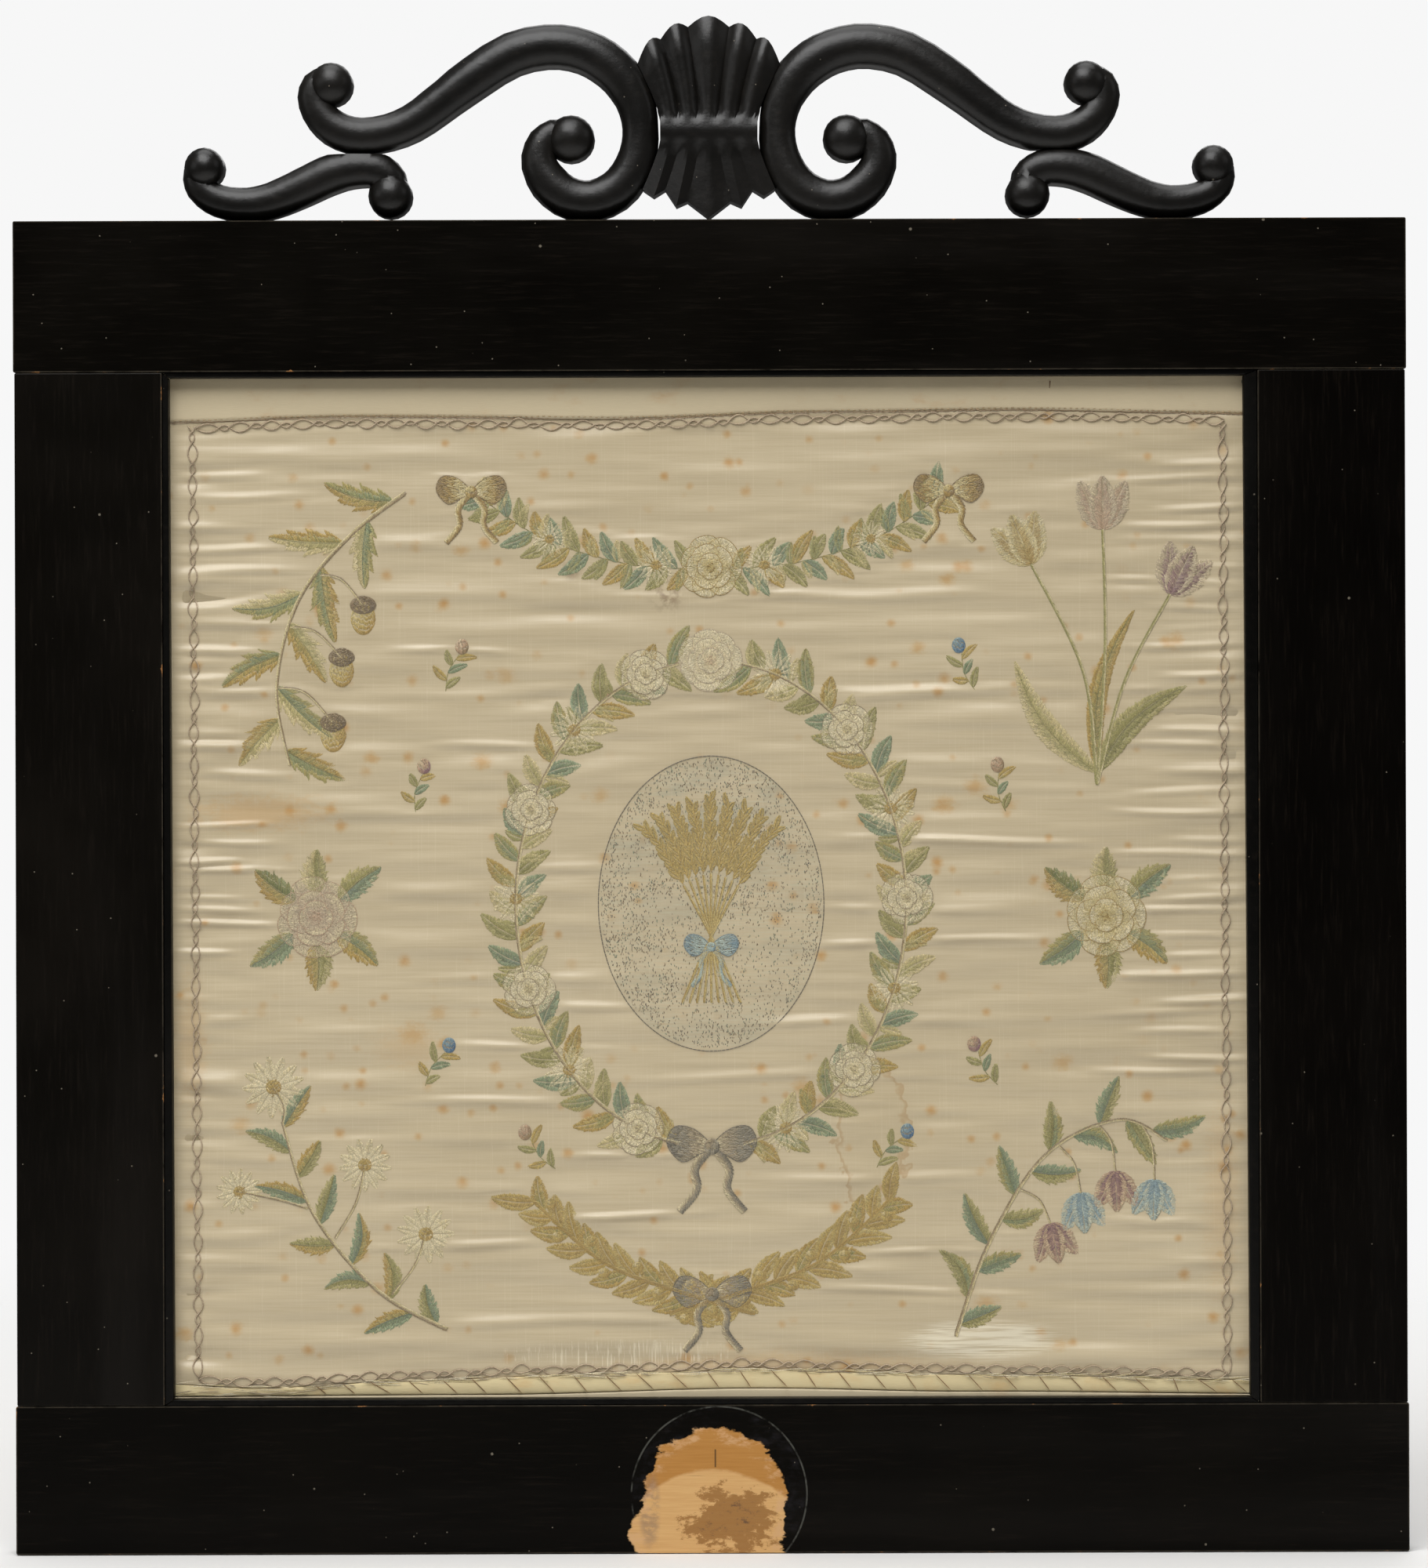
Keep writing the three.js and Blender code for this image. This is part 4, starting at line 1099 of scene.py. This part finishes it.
def medallion():
    """An oval of fine grey stipple with a sheaf of corn on it."""
    w = Work()
    greys = ("grey", "dark grey", "taupe", "slate", "umber")
    half = np.array((MEDALLION["wide"], MEDALLION["tall"]))
    spots = MEDALLION_MIDDLE + (rng.uniform(size=(15000, 2)) * 2 - 1) * half
    clumps = ripples(spots[:, 0], spots[:, 1], 11, 8, 31) + 0.5 * ripples(spots[:, 0], spots[:, 1], 4, 4, 32)
    rings = np.hypot(*((spots - MEDALLION_MIDDLE) / half).T)
    for k, (at, clump, ring) in enumerate(zip(spots, clumps, rings)):
        if ring > 0.98 or rng.uniform() > 0.2 + 0.6 * max(0.0, clump) + 0.4 * ease((ring - 0.8) / 0.2):
            continue
        w.stitch(at, at + (rng.normal(0, 0.25), rng.uniform(0.5, 1.3)), 0.36, linear(greys[k % 5]))
    turns = np.linspace(0, 2 * math.pi, 24, False)
    rim = [MEDALLION_MIDDLE + half * (math.sin(a), math.cos(a)) for a in turns]
    line(w, rim, "dark grey", 0.42, 1.9, 1, True)
    q = spot(*MEDALLION_MIDDLE)
    for k in range(-4, 5):
        a = math.radians(90 - 9.5 * k)
        reach = 52 - 0.8 * abs(k)
        head = (reach * math.cos(a), reach * math.sin(a) - 4)
        knee = (head[0] * 0.42, head[1] * 0.42 - 6)
        stem(w, through(q, (-3.4 * k, -46), (-0.6 * k, -20), knee), 1.1, ("pale gold", "gold", "ochre"))
        garland(w, through(q, knee, (head[0] * 0.75, head[1] * 0.75), head), 7, ("corn", "laurel"), 2.3, 24)
    bow(w, MEDALLION_MIDDLE[0], MEDALLION_MIDDLE[1] - 20, 0.7, ("pale blue", "pale blue", "blue"))
    return w


def swag():
    w = Work()
    for way in (1, -1):
        q = spot(0, 452, way)
        path = through(q, (4, 0), (40, 3), (78, 15), (108, 35))
        garland(w, path, 16, ("spring", "autumn", "sea"), 4.6)
        garland(w, path, 11, ("faded", "tipped"), 6, 78)
        daisy(w, q(25, 2), 10)
        daisy(w, q(74, 14), 9)
        bow(w, 110 * way, 488, 0.9, ("cream", "pale gold", "ochre", "brown"))
    rose(w, np.array((0, 453)), 14, ("gold", "pale gold", "ivory"), "ochre")
    return w


def laurels():
    """Two crossed laurel branches tied with a grey ribbon."""
    w = Work()
    for way in (1, -1):
        q = spot(0, 113, way)
        path = through(q, (-20, -4), (14, 6), (50, 20), (82, 48))
        stem(w, path, 2, ("gold", "ochre", "deep gold"), 0.5)
        garland(w, path, 19, ("laurel", "corn", "autumn"), 5.4, 36)
        for k, (at, turn) in enumerate(along(path, 13)):
            aside = 4.4 * np.array((-math.sin(turn), math.cos(turn))) * (1 if k % 2 else -1)
            fruit(w, at + aside, 2.7, 2.7, ("ivory", "gold", "ochre"), level=1)
    bow(w, 0, 118, 1, RIBBON)
    return w


# The leaves round a side rose: angle, reach and the palettes of their halves
ROSE_LEAVES = (
    (38, 38, "spring", "sea"), (142, 36, "autumn", "deep"), (216, 38, "sea", "tipped"),
    (322, 36, "tipped", "autumn"), (90, 32, "faded", "spring"), (270, 34, "spring", "autumn"),
)


def side_roses():
    w = Work()
    roses = ((-182, ("rose", "bloom", "cream"), "rose"), (182, ("gold", "pale gold", "ivory"), "ochre"))
    for x, palette, edge in roses:
        q = spot(x, 292)
        for turn, size, left, right in ROSE_LEAVES:
            a = math.radians(turn)
            tip = size * np.array((math.cos(a), math.sin(a)))
            leaf(w, q(*tip * 0.35), q(*tip), 14, LEAF[left], 6, 0.05, LEAF[left][0], 0, 0.26, LEAF[right])
        rose(w, q(0, 0), 18, palette, edge)
    return w


def scattered_sprigs():
    w = Work()
    places = (
        (-122, 396, 70), (122, 396, 110), (-136, 340, 80), (136, 340, 100),
        (-132, 214, 60), (132, 214, 120), (-72, 176, 130), (76, 176, 50),
    )
    buds = (("ivory", "rose", "brown"), ("pale blue", "blue", "deep blue"), ("cream", "rose", "purple"))
    for k, (x, z, turn) in enumerate(places):
        a = math.radians(turn)
        out, side = np.array((math.cos(a), math.sin(a))), np.array((-math.sin(a), math.cos(a)))
        at = np.array((x, z), float)
        garland(w, [at, at + out * 9 + side * 2, at + out * 18], 9, ("spring", "autumn", "sea"), 3.6)
        fruit(w, at + out * 22, 3, 3.8, buds[k % 3], level=1)
    return w


# Thread lines laid on the cloth
TUBE_SIDES = 6


def tubes(name, runs, radius, material, slot, node):
    """Round threads along runs of points."""
    points, faces = [], []
    for run in runs:
        p = np.array(run, float)
        ahead = np.gradient(p, axis=0)
        ahead /= np.linalg.norm(ahead, axis=1, keepdims=True)
        out = np.cross(ahead, (0, 1, 0))
        out /= np.linalg.norm(out, axis=1, keepdims=True)
        up = np.cross(ahead, out)
        first = len(points)
        for k in range(len(p)):
            for s in range(TUBE_SIDES):
                a = 2 * math.pi * s / TUBE_SIDES
                points.append(p[k] + radius * (out[k] * math.cos(a) + up[k] * math.sin(a)))
        for k in range(len(p) - 1):
            for s in range(TUBE_SIDES):
                n = (s + 1) % TUBE_SIDES
                a, b = first + k * TUBE_SIDES, first + (k + 1) * TUBE_SIDES
                faces.append([a + s, b + s, b + n, a + n])
        faces.append([first + s for s in range(TUBE_SIDES)])
        last = first + (len(p) - 1) * TUBE_SIDES
        faces.append([last + s for s in reversed(range(TUBE_SIDES))])
    return make(name, points, faces, material, slot, node)


def cord_material():
    s = Shader("border thread", Roughness=0.6, Sheen_Weight=0.2)
    twist = s.noise(0.7, (1, 1, 1), 2)
    fade = s.noise(26, (1, 1, 1), 2)
    colour = s.mix(s.band(twist, 0.3, 0.7), (146, 126, 102), (184, 166, 138))
    colour = s.tint(colour, s.band(fade, 0.45, 0.75), 0.5, (190, 170, 138))
    return s.finish(colour, None, s.bump(twist, 0.1, 0.8))


LOOP = 9.6
SMALL_LOOP = 4.9
THREAD_RADIUS = 0.34


def border_run(place, length, sign):
    """One of the two threads that loop round each other: large and small loops by turns."""
    noise = np.random.default_rng(round(length * 10))
    points, start, large = [], 0.0, True
    while start < length:
        long = (LOOP if large else SMALL_LOOP) * noise.uniform(0.9, 1.1)
        half = (2.05 if large else 1.1) * noise.uniform(0.88, 1.1)
        shift = noise.normal(0, 0.25)
        for t in np.arange(0, 1, 1 / (12 if large else 7)):
            at = start + t * long
            if at > length:
                break
            bow = half * math.sin(math.pi * t) ** 0.9
            way = sign if large else -sign
            x, z = place(at, way * bow + shift * math.sin(math.pi * t))
            over = 0.2 * math.cos(math.pi * t) * (1 if large else -1) * sign
            points.append((x, CLOTH_FRONT - float(silk_lift(x, z)) - THREAD_RADIUS - 0.14 - over, z))
        start += long
        large = not large
    return points


def make_border():
    cord = cord_material()
    low, high = BORDER_LEVELS
    left, right = BORDER["left"][0], BORDER["right"][0]
    across = right - left

    def upright(ends):
        return lambda s, o: (ends[0] + (ends[1] - ends[0]) * s / (high - low) + o, low + s)

    sides = {
        "top": (lambda s, o: (left + s, float(height_at(HEADING_SEAM, left + s)) - BORDER_INSET + o), across),
        "bottom": (lambda s, o: (left + s, float(height_at(HEM_SEAM, left + s)) + BORDER_INSET + o), across),
        "left": (upright(BORDER["left"]), high - low),
        "right": (upright(BORDER["right"]), high - low),
    }
    for name, (place, length) in sides.items():
        runs = [border_run(place, length, way) for way in (1, -1)]
        tubes("border_threads_" + name, runs, THREAD_RADIUS, cord, "border_thread", "border_" + name)


# Two marks on the heading: a brown tick, from end to end, and a dark knot
BROWN_TICK = ((157.0, 539.2), (156.6, 534.2))
DARK_KNOT = (246.2, 537.8)


def make_sewing():
    """Running stitches at the heading, whip stitches and frayed silk at the hem."""
    w = Work()
    for x in np.arange(-250, 250, 2.7):
        z = float(height_at(HEADING_SEAM, x)) + 0.9 + rng.normal(0, 0.1)
        w.stitch(np.array((x, z)), np.array((x + 1.5, z + rng.normal(0, 0.15))), 0.45, linear("seam"), 3)
    for x in np.arange(-249, 250, 1.1):
        z = float(height_at(HEADING_SEAM, x)) + rng.normal(0, 0.1)
        w.stitch(np.array((x, z)), np.array((x + 1.5, z)), 0.4, linear((142, 118, 88)), 2)
    w.stitch(*np.array(BROWN_TICK), 1.1, linear((112, 78, 52)), 2)
    fruit(w, np.array(DARK_KNOT), 1.2, 1.2, ((40, 34, 30), (20, 18, 16)), 90, 3)
    w.build("seam_stitches", "heading_cloth")
    h = Work()
    for x in np.arange(-186, 246, 15.2):
        top = float(height_at(HEM_SEAM, x)) + 0.6
        low = float(height_at(TAPE_EDGE, x)) + 1.2
        a, b = np.array((x + rng.normal(0, 1.2), top)), np.array((x + 6.5 + rng.normal(0, 0.8), low))
        line(h, [a, (a + b) / 2 + (0.5, 0.3), b], "whip", 0.42, 8, 8, False, False)
    for _ in range(260):
        x = rng.uniform(-250, 246)
        edge = float(height_at(HEM_SEAM, x))
        reach = rng.uniform(4, 16)
        drop = rng.uniform(0, 1.6) if x > -190 else rng.uniform(0, 6)
        shade = linear(("ivory", "cream", "taupe", "pale gold")[int(rng.integers(4))])
        z = edge + 0.8 - drop
        h.stitch(np.array((x, z)), np.array((x + reach, z + rng.normal(0, 0.7))), 0.36, shade, 7)
    h.build("hem_stitches", "tape_cloth")


# Kept solids
def dress(node, material, bevel=0.0):
    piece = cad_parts[node]
    piece.data.materials.clear()
    piece.data.materials.append(material)
    extra = piece.data.attributes.get("custom_normal")
    if extra:
        piece.data.attributes.remove(extra)
    piece.data.shade_smooth()
    weld = piece.modifiers.new("weld", "WELD")
    weld.merge_threshold = 0.01 * MM
    if bevel:
        round_off = piece.modifiers.new("bevel", "BEVEL")
        round_off.width = bevel * MM
        round_off.segments = 2
        round_off.limit_method = "ANGLE"
        round_off.angle_limit = math.radians(50)
        round_off.harden_normals = True
    else:
        split = piece.modifiers.new("split", "EDGE_SPLIT")
        split.split_angle = math.radians(42)


def dress_frame():
    rail = plain_ebony("ebonised rail", "x")
    stile_left = plain_ebony("ebonised stile, bloomed", "z", True, (15, 12, 8), 0.07)
    stile_right = plain_ebony("ebonised stile", "z", True, (7, 5, 3))
    slip = plain_ebony("ebonised slip", "round", False, (8, 7, 5), 0.12)
    dress("rail_bottom", rail_with_patch(), 0.6)
    dress("rail_top", rail, 0.6)
    dress("stile_left", stile_left, 0.6)
    dress("stile_right", stile_right, 0.6)
    for side in ("top", "bottom", "left", "right"):
        dress("slip_" + side, slip)
    for part in ("scroll_left", "scroll_right", "branch_left", "branch_right", "shell"):
        dress("crest_" + part, CREST_BLACK)
    dress("backboard", board_material())


# Floor, light and camera
FLOOR_HALF = 6  # metres, like the rest of the studio
FLOOR_DROP = 0.0004
AIM = (0, 0, 0.3)
SOFTBOXES = (
    ("overhead", (-0.35, -1.25, 2.0), 1.5, 1.3, 43), ("left fill", (-2.2, -1.4, 1.1), 1.2, 1.2, 4),
    ("right fill", (2.2, -0.8, 1.6), 1.2, 1.2, 2.5), ("rear fill", (0.4, 2.2, 1.8), 1.6, 1.6, 18),
)


def studio():
    floor = bpy.data.meshes.new("floor")
    corners = [(-1, -1), (1, -1), (1, 1), (-1, 1)]
    floor.from_pydata([(FLOOR_HALF * x, FLOOR_HALF * y, 0) for x, y in corners], [], [(0, 1, 2, 3)])
    s = Shader("pale floor", Roughness=0.8)
    floor.materials.append(s.finish(s.mix(s.noise(900, (1, 1, 1), 2), (228, 227, 225), (222, 221, 219))))
    flat = s.math("SQRT", s.plus(s.times(s.x, s.x), s.times(s.y, s.y)))
    fade = s.add("ShaderNodeMixShader")
    s.feed(fade.inputs[0], s.band(flat, 350, 1900))
    s.feed(fade.inputs[1], s.surface.outputs[0])
    s.feed(fade.inputs[2], s.add("ShaderNodeBsdfTransparent").outputs[0])
    s.feed(s.tree.nodes["Material Output"].inputs["Surface"], fade.outputs[0])
    ground = bpy.data.objects.new("floor", floor)
    ground.location.z = -FLOOR_DROP
    bpy.context.scene.collection.objects.link(ground)
    world = bpy.data.worlds.new("studio")
    world.use_nodes = True
    tree = world.node_tree
    tree.nodes.clear()
    path = tree.nodes.new("ShaderNodeLightPath")
    seen, cast = tree.nodes.new("ShaderNodeBackground"), tree.nodes.new("ShaderNodeBackground")
    seen.inputs[0].default_value = (0.93, 0.93, 0.93, 1)
    cast.inputs[0].default_value = (1, 1, 1, 1)
    cast.inputs[1].default_value = 0.1
    mix, out = tree.nodes.new("ShaderNodeMixShader"), tree.nodes.new("ShaderNodeOutputWorld")
    tree.links.new(path.outputs["Is Camera Ray"], mix.inputs[0])
    tree.links.new(cast.outputs[0], mix.inputs[1])
    tree.links.new(seen.outputs[0], mix.inputs[2])
    tree.links.new(mix.outputs[0], out.inputs[0])
    bpy.context.scene.world = world
    for row in SOFTBOXES:
        softbox(*row)
    zenith = bpy.data.lights.new("zenith", "SUN")
    zenith.energy = 1.7
    zenith.angle = math.radians(50)
    bpy.context.scene.collection.objects.link(bpy.data.objects.new("zenith", zenith))


def softbox(name, place, wide, tall, watts):
    light = bpy.data.lights.new(name, "AREA")
    light.shape = "RECTANGLE"
    light.size, light.size_y, light.energy = wide, tall, watts
    lamp = bpy.data.objects.new(name, light)
    lamp.location = place
    lamp.rotation_euler = (Vector(AIM) - Vector(place)).to_track_quat("-Z", "Y").to_euler()
    bpy.context.scene.collection.objects.link(lamp)


VIEW_HEIGHT = 0.720
VIEW_MIDDLE = (0.0015, 0.3531)
CAMERA_DISTANCE = 2.6
ROLL = 0.17
SENSOR = 36


def make_camera():
    camera = bpy.data.cameras.new("camera")
    camera.sensor_fit = "VERTICAL"
    camera.sensor_height = SENSOR
    camera.lens = SENSOR * CAMERA_DISTANCE / VIEW_HEIGHT
    eye = bpy.data.objects.new("camera", camera)
    eye.location = (VIEW_MIDDLE[0], FRONT * MM - CAMERA_DISTANCE, VIEW_MIDDLE[1])
    eye.rotation_euler = (math.pi / 2, math.radians(ROLL), 0)
    bpy.context.scene.collection.objects.link(eye)
    bpy.context.scene.camera = eye


make_camera()
studio()
dress_frame()
motifs = {
    "wreath_leaves": wreath_leaves(),
    "wreath_flowers": wreath_flowers(),
    "medallion": medallion(),
    "swag": swag(),
    "laurels": laurels(),
    "oak_sprig": oak_sprig(),
    "tulip_spray": tulip_spray(),
    "daisy_spray": daisy_spray(),
    "bell_spray": bell_spray(),
    "side_roses": side_roses(),
    "scattered_sprigs": scattered_sprigs(),
}
hold_flat(motifs.values())
make_cloths()
make_border()
make_sewing()
for name, motif in motifs.items():
    motif.build("embroidery_" + name)
bpy.context.scene.view_settings.view_transform = "Standard"
